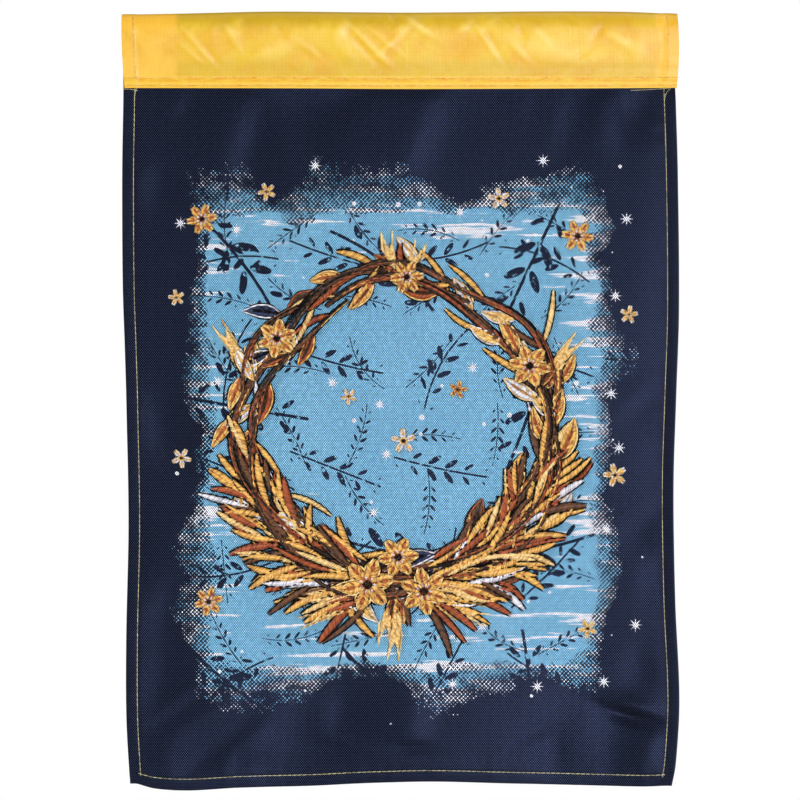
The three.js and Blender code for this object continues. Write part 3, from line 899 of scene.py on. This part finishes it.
def panel_skin(rows, columns, facing):
    """Points of one face of the panel, with its folds, hems and the dents of its stitching."""
    across, down = np.meshgrid(columns, rows)
    x, z = panel_place(across, down)
    from_side = np.minimum(across, FLAG_WIDTH - across)
    from_foot = PANEL_LENGTH - down
    edge = np.minimum(from_side, from_foot)
    below = smoothstep(-z, SLEEVE_DROP, SLEEVE_DROP + HEM_WIDTH)
    side_ripple = pucker(z, 13, 0.4) * bell(from_side - HEM_STITCH_INSET, RIPPLE_REACH)
    foot_ripple = pucker(x, 12, 1.1) * bell(from_foot - HEM_STITCH_INSET, RIPPLE_REACH)

    # The right hem leans to the front and the foot's to the back, so both turn from the light
    into_right = np.clip(HEM_WIDTH - (FLAG_WIDTH - across), 0, None)
    into_foot = np.clip(HEM_WIDTH - from_foot, 0, None)
    lean = FOOT_HEM_LEAN * into_foot - RIGHT_HEM_LEAN * into_right
    y = panel_depth(x, z) + below * (HEM_RIPPLE * (side_ripple + foot_ripple) + lean)
    groove = HEM_GROOVE * bell(edge - HEM_STITCH_INSET, 0.9) * below
    rounding = EDGE_ROUNDING * np.exp(-edge / 0.35)
    if facing == FRONT:
        y = y - PANEL_CLOTH / 2 + groove + rounding
    else:
        turned = PANEL_HEM_CLOTH * (1 - smoothstep(edge, HEM_WIDTH - HEM_BEND, HEM_WIDTH)) * below
        y = y + PANEL_CLOTH / 2 + turned - groove - rounding
    return np.stack([x, y, z], axis=-1)


def sleeve_place(across, drop):
    """Where a point of the sleeve hangs: x and z from how far across and below the fold it lies."""
    place = across - HALF_WIDTH
    crest = curve_through(SLEEVE_CREST, place) - SLEEVE_CLOTH
    foot = -SLEEVE_DROP + curve_through(SLEEVE_FOOT, place)
    left = -HALF_WIDTH + curve_through(SLEEVE_LEFT, drop)
    right = HALF_WIDTH - curve_through(SLEEVE_RIGHT, drop)
    return left + (right - left) * across / FLAG_WIDTH, crest + (foot - crest) * drop / SLEEVE_DROP


def sleeve_section():
    """The sleeve's section from its back foot over the crest to its front foot, as rows of depth
    below the fold and distance behind the hanging plane."""
    seam = np.linspace(SLEEVE_DROP, SEAM_TOP, 11)
    slope = np.linspace(SEAM_TOP, SLEEVE_ROUND, 30)[1:]
    crown = SLEEVE_ROUND * (1 - np.sin(np.linspace(0, math.pi / 2, 12)))[1:]
    drop = np.concatenate([seam, slope, crown])
    widest = curve_through(SLEEVE_SPACE, np.array([SLEEVE_ROUND]))[0]
    arc = widest * np.sqrt(np.clip(1 - (1 - drop / SLEEVE_ROUND) ** 2, 0, 1))
    space = np.where(drop < SLEEVE_ROUND, arc, curve_through(SLEEVE_SPACE, drop))
    space = np.where(drop >= SEAM_TOP, PANEL_CLOTH / 2 + SEWN_GAP, space)
    return np.concatenate([drop, drop[-2::-1]]), np.concatenate([space, -space[-2::-1]])


def sleeve_skins():
    """The sleeve's outer and inner skin, with creases, end hems and the pucker along its seams,
    and the height of its ridges at each point of a skin."""
    section_drop, section_space = sleeve_section()
    across, drop = np.meshgrid(grid_lines(FLAG_WIDTH, END_LINES, END_LINES, SLEEVE_STEP), section_drop)
    space = np.repeat(section_space[:, None], across.shape[1], axis=1)
    x, z = sleeve_place(across, drop)
    loose = 1 - smoothstep(drop, LOOSE_DROP, SEAM_TOP)
    ridge = (space < 0) * loose * fold_rise(SLEEVE_FOLDS + FINE_SLEEVE_FOLDS, x, z)
    y = space - ridge
    along_y = np.gradient(y, axis=0)
    along_z = np.gradient(z, axis=0)
    outward = np.stack([np.zeros_like(y), -along_z, along_y], axis=-1)
    outward /= np.maximum(np.hypot(along_y, along_z), 1e-9)[..., None]

    # Above the seam the loose cloth ripples, and between the rows of stitches it is drawn up
    side = np.sign(space)
    from_top = drop - SEAM_TOP
    above = bell(np.minimum(from_top, 0), RIPPLE_REACH) * smoothstep(drop, 2 * SLEEVE_ROUND, SEAM_TOP)
    between_rows = np.sin(np.pi * np.clip(from_top / (FOOT_ROW - SEAM_TOP), 0, 1)) * (from_top > 0)
    ripple = LOOSE_RIPPLE * above * pucker(x, 10.5, 0.9 + side)
    drawn_up = (SEAM_RIPPLE * pucker(x, 7.5, 2.2 + side) + SEAM_SWELL) * between_rows
    from_end = np.minimum(across, FLAG_WIDTH - across)
    row_dents = ROW_DENT * sum(bell(drop - row, DENT_REACH) for row in (UPPER_ROW, FOOT_ROW))
    end_dents = END_DENT * bell(from_end - END_ROW, DENT_REACH) * loose
    thick = SLEEVE_CLOTH + ripple + drawn_up - row_dents - end_dents
    hem = TURNED_END * (1 - smoothstep(from_end, HEM_WIDTH - 0.4, HEM_WIDTH + 0.5))
    fold = np.stack([x, y, z], axis=-1)
    return fold + outward * thick[..., None], fold - outward * hem[..., None], ridge


def guide(x, z, reach, turn, lift):
    """A guide line for stitches, from arrays or single values."""
    return np.stack(np.broadcast_arrays(x, z, reach, turn, lift), axis=1).astype(float)


def bowed_line(x, z, heading, length, bow, count=15):
    """Points on a line that starts at a place and turns evenly, and its heading at each."""
    headings = heading + bow * np.linspace(0, 1, count)
    middles = (headings[:-1] + headings[1:]) / 2
    step = length / (count - 1)
    xs = x + np.concatenate([[0], np.cumsum(step * np.cos(middles))])
    zs = z + np.concatenate([[0], np.cumsum(step * np.sin(middles))])
    return xs, zs, headings


def away(x, z, angle, distance):
    """Where a point lies that is at a distance from another, along an angle in radians."""
    return x + distance * np.cos(angle), z + distance * np.sin(angle)


def beside(x, z, heading, aside):
    """Points beside a line, to the left of its heading by a distance."""
    return x - np.sin(heading) * aside, z + np.cos(heading) * aside


def leaf_line(leaf, count=15):
    """Points on a leaf's middle line, its heading at each and its half width. It is pointed at both
    ends, or blunt where its point is small, and widest nearer its tip the fuller it is."""
    x, z, heading = bowed_line(leaf.x, leaf.z, leaf.heading, leaf.length, leaf.bow, count)
    share = np.linspace(0, 1, count) ** leaf.fullness
    return x, z, heading, np.maximum(leaf.half_width * np.sin(np.pi * share) ** leaf.point, 0.3)


def veined_leaf(leaf):
    """A leaf of satin stitch in two halves, which slant forward from its middle vein."""
    x, z, heading, width = leaf_line(leaf)
    reach = width / 2 / math.sin(SATIN_SLANT)
    return [
        guide(*beside(x, z, heading, side * width / 2), reach, side * SATIN_SLANT, leaf.lift)
        for side in (1, -1)
    ]


def plain_leaf(leaf, slant=SATIN_SLANT):
    """A narrow leaf, grain or knot of satin stitch that crosses it from edge to edge."""
    x, z, heading, width = leaf_line(leaf)
    return guide(x, z, width / math.sin(slant), slant, leaf.lift)


def along_leaf(leaf, offset, start, end, raised):
    """A line of long stitches along a part of a leaf, at a share of its half width to one side."""
    steps = 24
    x, z, heading, width = leaf_line(leaf, steps + 1)
    reach = min(LONG_REACH, leaf.length * 0.16)
    rows = guide(*beside(x, z, heading, width * offset), reach, 0, leaf.lift + raised)
    inset = 0.8 * reach / leaf.length
    return rows[round(max(start, inset) * steps):round(min(end, 1 - inset) * steps) + 1]


def twig_path(twig):
    """The middle line of a twig that winds round the ring, its headings and its half width."""
    share = np.linspace(0, 1, 61)
    angle = np.radians(twig.start + twig.sweep * share)
    swing = twig.wobble * np.sin(2 * np.pi * twig.waves * share + twig.phase)
    x, z = away(*WREATH_MIDDLE, angle, WREATH_RADIUS + twig.radius + swing)
    heading = np.unwrap(np.arctan2(np.gradient(z), np.gradient(x)))
    return x, z, heading, twig.girth * (0.35 + 0.65 * np.sin(np.pi * share) ** 0.5)


def wind_twig(twig, index, work):
    """Strands laid side by side along a twig, in short pieces of mixed browns that are lighter on
    its outer side and dark at both edges. They pass over and under the other twigs."""
    x, z, heading, half = twig_path(twig)
    share = np.linspace(0, 1, len(x))
    over = 0.45 + 0.55 * np.sin(2 * np.pi * twig.waves * share + twig.phase + index * 1.9)
    count = round(2 * twig.girth / STRAND_SPACING) + 1
    for offset in np.linspace(-1, 1, count):
        lift = 0.25 + over + 0.9 * (1 - offset ** 2)
        rows = guide(*beside(x, z, heading, half * offset), LONG_REACH, 0, lift)
        browns = TWIG_THREADS_LIT if offset > 0 else TWIG_THREADS_DIM
        start = 0
        while start < len(rows) - 1:
            end = start + work.dice.randint(2, 6)
            name = "black" if abs(offset) == 1 else work.dice.choice(browns)
            work.strands[name].append(rows[start:end + 1])
            start = end


def sew_leaf(leaf, name, work):
    """A satin leaf with a darker vein, a shaded lower edge, a pale rim, and a dark outline that also
    serves as painted shade round it.
    """
    work.satin[name].extend(veined_leaf(leaf))
    vein, rim = LEAF_TRIMS[name]
    for offset in (-0.12, 0.1):
        work.strands[vein].append(along_leaf(leaf, offset, 0, 0.62, 0.34))
    work.strands[vein].append(along_leaf(leaf, -0.5, 0.1, 0.5, 0.2))
    for side in (-1, 1):
        work.strands[rim].append(along_leaf(leaf, side, 0.05, 1, 0.12))
        work.strands["black"].append(along_leaf(leaf, side * 1.25, 0, 0.9, -0.25))


def sew_blade(leaf, name, work):
    """A straw or narrow blade of satin stitch with blunt ends, and a dark thread along each edge that
    also serves as painted shade between overlapping straws.
    """
    blade = leaf._replace(fullness=0.9, point=STRAW_POINT)
    work.satin[name].append(plain_leaf(blade))
    outline = blade._replace(half_width=blade.half_width + 0.25)
    for side in (-1, 1):
        work.strands["black"].append(along_leaf(outline, side, 0.05, 0.95, -0.3))


def leaf_twig(twig, work):
    """Leaves and narrow blades set along a twig in turn on its two sides."""
    x, z, heading, half = twig_path(twig)
    last = len(x) - 1
    dice = work.dice
    count = round(abs(twig.sweep) / LEAF_SPACING)
    for number in range(count):
        spot = round((number + 0.6) / count * last)
        side = 1 if number % 2 else -1
        low = 1 - 0.5 * (1 + math.sin(math.radians(twig.start + twig.sweep * spot / last)))
        angle = heading[spot] + side * math.radians(dice.uniform(24, 50))
        start = beside(x[spot], z[spot], heading[spot], side * half[spot] * 0.6)
        length = dice.uniform(17, 23) + 6 * low
        bow = -side * dice.uniform(0.2, 0.7)
        name = dice.choice(LEAF_THREADS)
        if dice.random() < 0.55:
            width = length * dice.uniform(0.15, 0.19)
            lift = 0.35 + 0.25 * (number % 4)
            sew_leaf(Leaf(*start, angle, length, width, bow, lift), name, work)
        else:
            lift = 0.5 + 0.2 * (number % 5)
            name = dice.choice(BLADE_THREADS)
            width = dice.uniform(1.5, 2.1)
            sew_blade(Leaf(*start, angle, length * 1.35, width, bow, lift), name, work)


def sew_swag(swag, side, work):
    """Straws that overlap along one side of the ring like shingles, over a bed of dark stitches."""
    dice = work.dice
    for number in range(swag.count):
        share = (number + 0.5) / swag.count
        angle = math.radians(270 + side * (swag.start + (swag.end - swag.start) * share))
        start = away(*WREATH_MIDDLE, angle, WREATH_RADIUS + swag.radius + dice.uniform(-3, 3))
        onward = angle + side * math.pi / 2
        heading = onward - math.radians(side * swag.splay + dice.uniform(-18, 18))
        length = swag.length * dice.uniform(0.7, 1.1) * (1.1 - 0.35 * share)
        name = STRAW_THREADS[(number * 5 + round(swag.radius)) % len(STRAW_THREADS)]
        lift = 0.9 + 1.1 * dice.random()
        width = dice.uniform(1.5, 2.3)
        bow = dice.uniform(-0.5, 0.5)
        sew_blade(Leaf(*start, heading, length, width, bow, lift), name, work)


def sew_bed(work):
    """A crescent of dark stitches across the foot of the ring, which shows between the straws as painted
    shade.
    """
    count = 60
    angle = np.radians(np.linspace(196, 344, count))
    half = 0.4 + 6 * np.sin(np.pi * np.linspace(0, 1, count)) ** 0.7
    for side, name in ((-1, "umber"), (1, "black")):
        middle = away(*WREATH_MIDDLE, angle, WREATH_RADIUS + side * half)
        work.satin[name].append(guide(*middle, half, math.pi / 2, 0.2))


def sew_spray(spray, work):
    """A tuft that spreads from one place: ears of grain, blades and a few leaves between them."""
    dice = work.dice
    for number in range(spray.count):
        share = (number + 0.5) / spray.count - 0.5
        heading = math.radians(spray.turn + spray.spread * share + dice.uniform(-4, 4))
        length = spray.length * dice.uniform(0.72, 1) * (1 - 0.5 * abs(share))
        bow = -1.1 * share + dice.uniform(-0.15, 0.15)
        lift = 0.7 + 0.25 * (number % 4)
        start = (WREATH_MIDDLE[0] + spray.x, WREATH_MIDDLE[1] + spray.z)
        blade = Leaf(*start, heading, length, 2, bow, lift)
        kind = (number + round(spray.turn)) % 3
        if kind == 0:
            sew_ear(blade, work)
        elif kind == 1:
            leaf = blade._replace(length=length * 0.8, half_width=length * 0.12, fullness=1)
            sew_leaf(leaf, dice.choice(LEAF_THREADS), work)
        else:
            sew_blade(blade, dice.choice(BLADE_THREADS), work)


def sew_ear(stalk, work):
    """An ear of grain: a stalk, pairs of grains on its outer half, and fine awns beyond them."""
    count = 25
    x, z, heading = bowed_line(stalk.x, stalk.z, stalk.heading, stalk.length, stalk.bow, count)
    for aside in (-0.35, 0.35):
        line = beside(x, z, heading, aside)
        work.strands["chestnut"].append(guide(*line, LONG_REACH, 0, stalk.lift - 0.2))
    for number, spot in enumerate(range(11, count, 2)):
        start = (x[spot], z[spot])
        rise = stalk.lift + 0.1 * number
        for side in (-1, 1):
            name = "straw" if (number + side) % 3 else "marigold"
            grain = Leaf(*start, heading[spot] + side * 0.5, 6.6, 1.35, -side * 0.3, rise)
            work.satin[name].append(plain_leaf(grain, 1.0))
            awn = bowed_line(*start, heading[spot] + side * 0.36, 12, -side * 0.2)[:2]
            work.strands["straw"].append(guide(*awn, LONG_REACH * 0.7, 0, stalk.lift - 0.3))


def sew_bloom(bloom, work, lift):
    """A blossom: pointed satin petals with shaded throats and pale rims, round a dark eye. A big one
    has pale knots round its eye."""
    big = bloom.radius > BIG_BLOOM
    petals = 6 if big else 5
    name = "marigold" if big else work.dice.choice(("marigold", "straw", "linen"))
    length = bloom.radius * 0.9
    width = bloom.radius * 0.29
    for number in range(petals):
        angle = math.radians(bloom.turn + number * 360 / petals)
        start = away(bloom.x, bloom.z, angle, bloom.radius * 0.12)
        rise = lift + 0.12 * (number % 2)
        sew_leaf(Leaf(*start, angle, length, width, 0, rise, 1.05), name, work)
    eye = max(bloom.radius * 0.2, 0.9)
    middle = Leaf(bloom.x - eye, bloom.z, 0, 2 * eye, eye, 0, lift + 0.75, 1)
    work.satin["black"].append(plain_leaf(middle, math.pi / 2))
    knots = 7 if big else 0
    for number in range(knots):
        angle = number * math.tau / knots
        start = away(bloom.x, bloom.z, angle, eye * 1.15)
        knot = Leaf(*start, angle, 1.5, 0.7, 0, lift + 0.8, 1)
        work.satin["linen"].append(plain_leaf(knot, math.pi / 2))


# Settings that are colours, in linear light, and sizes in metres
dye = partial(FloatVectorProperty, subtype="COLOR", size=3, min=0, max=1)
metres = partial(FloatProperty, unit="LENGTH")


class FlagClothSettings(bpy.types.PropertyGroup):
    navy: dye(name="Navy", description="Dye of the canvas panel", default=colour("#04060D"))
    gold: dye(name="Gold", description="Taffeta where it is doubled", default=colour("#EDBA40"))
    lemon: dye(name="Lemon", description="Taffeta where it is one layer", default=colour("#E3BB33"))
    # Amber of random patches, also used for painted shade in the hollows and along the doubled ends'
    # crest
    amber: dye(name="Amber", description="Warmer patches of the taffeta", default=colour("#DFA824"))
    # Painted highlight: the pale gold of the taffeta's ridges and of the seam where it swells
    pale: dye(name="Pale Gold", description="Ridges of the taffeta", default=colour("#F2D16C"))
    # Amber of the doubled seam, with painted shade along its rows of stitches
    seam_amber_and_shade: dye(
        name="Seam Gold", description="Taffeta between the seam's two rows", default=colour("#E09D18")
    )
    # Painted shade: the olive at the sleeve's crest and above its seam
    olive: dye(name="Olive", description="Taffeta at the sleeve's crest", default=colour("#BA960E"))
    weave: FloatProperty(
        name="Canvas Weave", description="Spacing of the canvas grain in mm", default=0.92, min=0.3
    )
    taffeta_weave: FloatProperty(
        name="Taffeta Weave", description="Spacing of the taffeta grain in mm", default=0.8, min=0.2
    )


class FlagPrintSettings(bpy.types.PropertyGroup):
    middle_x: metres(name="Middle X", description="Middle of the printed ground", default=0.002)
    middle_z: metres(name="Middle Z", description="Height of the ground's middle", default=-0.251)
    half_width: metres(name="Half Width", description="Half the width of the ground", default=0.122)
    half_height: metres(name="Half Height", description="Half the height of the ground", default=0.144)
    halftone: FloatProperty(
        name="Halftone", description="Spacing of the halftone dots in mm", default=1.7, min=0.5
    )
    snow_spacing: FloatProperty(
        name="Snow Spacing", description="Spacing of the snow spots in mm", default=13, min=2
    )
    blue: dye(name="Blue", description="Light blue ink", default=colour("#92CDEC"))
    deep_blue: dye(name="Deep Blue", description="Blue ink laid thick", default=colour("#70B2D6"))
    white: dye(name="White", description="White strokes and snow", default=colour("#F8F8FF"))


class FlagSewingSettings(bpy.types.PropertyGroup):
    thread_width: FloatProperty(
        name="Thread Width", default=0.76, min=0.2,
        description="Width of satin thread in mm, twice that of 40-weight thread so that it shows",
    )
    strand_width: FloatProperty(
        name="Strand Width", description="Doubled thread of lines in mm", default=1.05, min=0.2
    )
    thread_height: FloatProperty(
        name="Thread Height", description="How far a strand stands off the cloth in mm", default=0.8
    )
    seam_thread: FloatProperty(
        name="Seam Thread", description="Width of the seam thread in mm", default=0.46, min=0.2
    )
    satin_pitch: FloatProperty(
        name="Satin Pitch", description="Spacing of satin stitches in mm", default=0.68, min=0.3
    )
    strand_pitch: FloatProperty(
        name="Strand Pitch", description="Spacing of stitches end to end in mm", default=4, min=1
    )
    stitch_length: FloatProperty(
        name="Stitch Length", description="Length of the seam stitches in mm", default=2.9, min=1
    )
    seed: IntProperty(name="Seed", description="Chance of the embroidery", default=5)


class FlagStageSettings(bpy.types.PropertyGroup):
    camera_distance: metres(name="Camera Distance", description="From camera to flag", default=2.5)
    view_width: metres(name="View Width", description="Width of the view at the flag", default=0.4688)
    view_height: metres(name="View Height", description="Height of the view's middle", default=-0.228)
    floor_gap: metres(name="Floor Gap", description="From the flag's foot to the floor", default=0.12)
    floor_radius: metres(name="Floor Radius", description="Size of the floor", default=1.0)
    room_light: FloatProperty(
        name="Room Light", description="Brightness of the room round the flag", default=0.14, min=0
    )


class FlagPanel(bpy.types.Operator):
    """Makes the navy canvas panel with its print, folds and turned hems"""

    bl_idname = "flag.panel"
    bl_label = "Make Panel"

    def execute(self, context):
        cloth = context.scene.flag_cloth
        rows = grid_lines(PANEL_LENGTH, (0,), EDGE_LINES, PANEL_STEP)
        columns = grid_lines(FLAG_WIDTH, EDGE_LINES, EDGE_LINES, PANEL_STEP)
        skins = [panel_skin(rows, columns, facing) for facing in (FRONT, BACK)]
        materials = [printed_canvas(cloth, context.scene.flag_print), woven_navy_canvas(cloth)]
        panel = closed_sheet("panel_cloth", skins, materials)
        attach(panel, BODY)
        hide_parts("panel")
        return {"FINISHED"}


class FlagSleeve(bpy.types.Operator):
    """Makes the golden taffeta sleeve, folded over along the top"""

    bl_idname = "flag.sleeve"
    bl_label = "Make Sleeve"

    def execute(self, context):
        material = golden_taffeta(context.scene.flag_cloth)
        outer, inner, ridge = sleeve_skins()
        sleeve = closed_sheet("sleeve_cloth", (outer, inner), [material])
        # The ridges' heights, from which the taffeta paints highlights on its ridges and shade in its
        # hollows
        height = sleeve.data.attributes.new("ridge", "FLOAT", "POINT")
        height.data.foreach_set("value", np.tile(ridge.ravel(), 2).astype(np.float32))
        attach(sleeve, BODY)
        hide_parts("sleeve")
        return {"FINISHED"}


class FlagSeams(bpy.types.Operator):
    """Sews the hems and the sleeve, on the front and on the back"""

    bl_idname = "flag.seams"
    bl_label = "Sew Seams"

    def execute(self, context):
        sewing = context.scene.flag_sewing
        pitch = sewing.stitch_length
        reach = pitch * STITCH_COVER / 2

        # Hem rows down the panel's sides and along its foot
        far = FLAG_WIDTH - HEM_STITCH_INSET
        foot = PANEL_LENGTH - HEM_STITCH_INSET
        down = np.linspace(SLEEVE_DROP + PANEL_TOP + 1, foot, 120)
        across = np.linspace(HEM_STITCH_INSET, far, 100)
        hems = [panel_place(place, down) for place in (HEM_STITCH_INSET, far)]
        hems.append(panel_place(across, foot))
        hem_guides = [guide(x, z, reach, 0, 0.12) for x, z in hems]

        # The seam's two rows, and one down each end of the sleeve
        across = np.linspace(0.8, FLAG_WIDTH - 0.8, 120)
        down = np.linspace(3, SEAM_TOP, 40)
        rows = [sleeve_place(across, drop) for drop in (UPPER_ROW, FOOT_ROW)]
        rows += [sleeve_place(place, down) for place in (END_ROW, FLAG_WIDTH - END_ROW)]
        row_guides = [guide(x, z, reach, 0, 0.1) for x, z in rows]

        panel = bpy.data.objects["panel_cloth"]
        sleeve = bpy.data.objects["sleeve_cloth"]
        thread = (sewing.seam_thread, sewing.seam_thread * 0.8)
        olive = spun_thread("olive_polyester_thread_spun", "#8C8454", "#E2D8A4", 0.5)
        apricot = spun_thread("apricot_polyester_thread_spun", "#DA9830", "#F8D27C", 0.55)
        for facing, side in ((FRONT, "front"), (BACK, "back")):
            for name, guides, cloth, yarn in (
                ("hem_stitches_", hem_guides, panel, olive),
                ("sleeve_stitches_", row_guides, sleeve, apricot),
            ):
                lay_stitches(name + side, guides, cloth, yarn, pitch, thread, facing, 0.09)

        # Loose thread ends near the panel's upper corners: place, heading, length, bow and lift
        loose_ends = [
            guide(*bowed_line(*line)[:2], 0.9, 0, lift)
            for *line, lift in (
                (-161.4, -45.9, 0.05, 7, -0.3, 0.3),
                (-154.6, -46, -1.85, 8, 0.3, 0.3),
                (158, -46, -2.5, 5.5, 0.8, 0.45),
                (136, -46.6, 0.03, 21, 0.05, 0.3),
            )
        ]
        fine = (sewing.seam_thread * 0.75, sewing.seam_thread * 0.6)
        lay_stitches("loose_thread_ends", loose_ends, panel, olive, 1.4, fine, FRONT, 0.03)
        return {"FINISHED"}


class FlagWreath(bpy.types.Operator):
    """Embroiders the wreath: its twigs, leaves, grain and blossoms"""

    bl_idname = "flag.wreath"
    bl_label = "Embroider Wreath"

    def execute(self, context):
        sewing = context.scene.flag_sewing
        satin = {name: [] for name in THREADS}
        strands = {name: [] for name in THREADS}
        work = Needlework(satin, strands, random.Random(sewing.seed))
        for index, twig in enumerate(TWIGS):
            wind_twig(twig, index, work)
            leaf_twig(twig, work)
        sew_bed(work)
        for swag in SWAGS:
            for side in (-1, 1):
                sew_swag(swag, side, work)
        for spray in SPRAYS:
            sew_spray(spray, work)
        for bloom in WREATH_BLOOMS:
            moved = bloom._replace(x=bloom.x + WREATH_MIDDLE[0], z=bloom.z + WREATH_MIDDLE[1])
            sew_bloom(moved, work, 2.2)
        for bloom in STREWN_BLOOMS:
            sew_bloom(bloom, work, 0.3)
        panel = bpy.data.objects["panel_cloth"]
        for number, (name, look) in enumerate(THREADS.items()):
            material = spun_thread(name + "_trilobal_thread_spun", *look)
            for kind, guides, pitch, width in (
                ("_satin", satin[name], sewing.satin_pitch, sewing.thread_width),
                ("_strands", strands[name], sewing.strand_pitch, sewing.strand_width),
            ):
                if guides:
                    thread = (width, sewing.thread_height)
                    seed = number + sewing.seed
                    lay_stitches(name + kind, guides, panel, material, pitch, thread, seed=seed)
        return {"FINISHED"}


class FlagStage(bpy.types.Operator):
    """Sets up the camera, the soft lights and the pale floor"""

    bl_idname = "flag.stage"
    bl_label = "Set Up Stage"

    def execute(self, context):
        scene = context.scene
        stage = scene.flag_stage
        lens = bpy.data.cameras.new("camera")
        lens.lens = lens.sensor_width * stage.camera_distance / stage.view_width
        scene.camera = add_object("camera", lens)
        scene.camera.location = (0, -stage.camera_distance, stage.view_height)
        scene.camera.rotation_euler = (math.pi / 2, 0, 0)

        mesh = bpy.data.meshes.new("floor")
        shape = bmesh.new()
        level = Matrix.Translation((0, 0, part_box("panel")[0].z - stage.floor_gap))
        size = stage.floor_radius
        bmesh.ops.create_circle(shape, cap_ends=True, radius=size, segments=96, matrix=level)
        shape.to_mesh(mesh)
        shape.free()
        material, tree, shader = new_material("matt_paper_floor")
        fill_inputs(tree, shader, {"Base Color": colour("#E8E8EA"), "Roughness": 0.9})
        mesh.materials.append(material)
        add_object("floor", mesh)

        for name, place, across, power in LIGHTS:
            light = bpy.data.lights.new(name, "AREA")
            light.shape = "DISK"
            light.size = across
            light.energy = power
            lamp = add_object(name, light)
            lamp.location = place
            aim = Vector((0, 0, stage.view_height)) - lamp.location
            lamp.rotation_euler = aim.to_track_quat("-Z", "Y").to_euler()

        # The room is a pale grey that lights the cloth, and the camera sees it as clean white paper
        scene.view_settings.view_transform = "Standard"
        scene.world = bpy.data.worlds.new("pale_room")
        scene.world.use_nodes = True
        tree = scene.world.node_tree
        tree.nodes.clear()
        seen = add_node(tree, "ShaderNodeLightPath").outputs["Is Camera Ray"]
        strength = add_node(tree, RANGE, (seen, 0, 1, stage.room_light, 1))
        room = add_node(tree, "ShaderNodeBackground", {"Color": (1, 1, 1), "Strength": strength})
        add_node(tree, "ShaderNodeOutputWorld", {"Surface": room})
        return {"FINISHED"}


class FlagSidebar(bpy.types.Panel):
    """Lists the steps that make the flag, and the sizes and colours that can be changed"""

    bl_idname = "FLAG_PT_sidebar"
    bl_label = "Garden Flag"
    bl_space_type = "VIEW_3D"
    bl_region_type = "UI"
    bl_category = "Garden Flag"

    def draw(self, context):
        for operator in OPERATORS:
            self.layout.operator(operator.bl_idname)
        for title, settings in SETTINGS.items():
            box = self.layout.box()
            for name in settings.__annotations__:
                box.prop(getattr(context.scene, title), name)


OPERATORS = (FlagPanel, FlagSleeve, FlagSeams, FlagWreath, FlagStage)
SETTINGS = {
    "flag_cloth": FlagClothSettings,
    "flag_print": FlagPrintSettings,
    "flag_sewing": FlagSewingSettings,
    "flag_stage": FlagStageSettings,
}


def register():
    for kind in (*SETTINGS.values(), *OPERATORS, FlagSidebar):
        bpy.utils.register_class(kind)
    for title, settings in SETTINGS.items():
        setattr(bpy.types.Scene, title, PointerProperty(type=settings))


def unregister():
    for title in SETTINGS:
        delattr(bpy.types.Scene, title)
    for kind in (FlagSidebar, *reversed(OPERATORS), *SETTINGS.values()):
        bpy.utils.unregister_class(kind)


def main():
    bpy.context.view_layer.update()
    register()
    bpy.ops.flag.panel()
    bpy.ops.flag.sleeve()
    bpy.ops.flag.seams()
    bpy.ops.flag.wreath()
    bpy.ops.flag.stage()


if __name__ == "__main__":
    main()
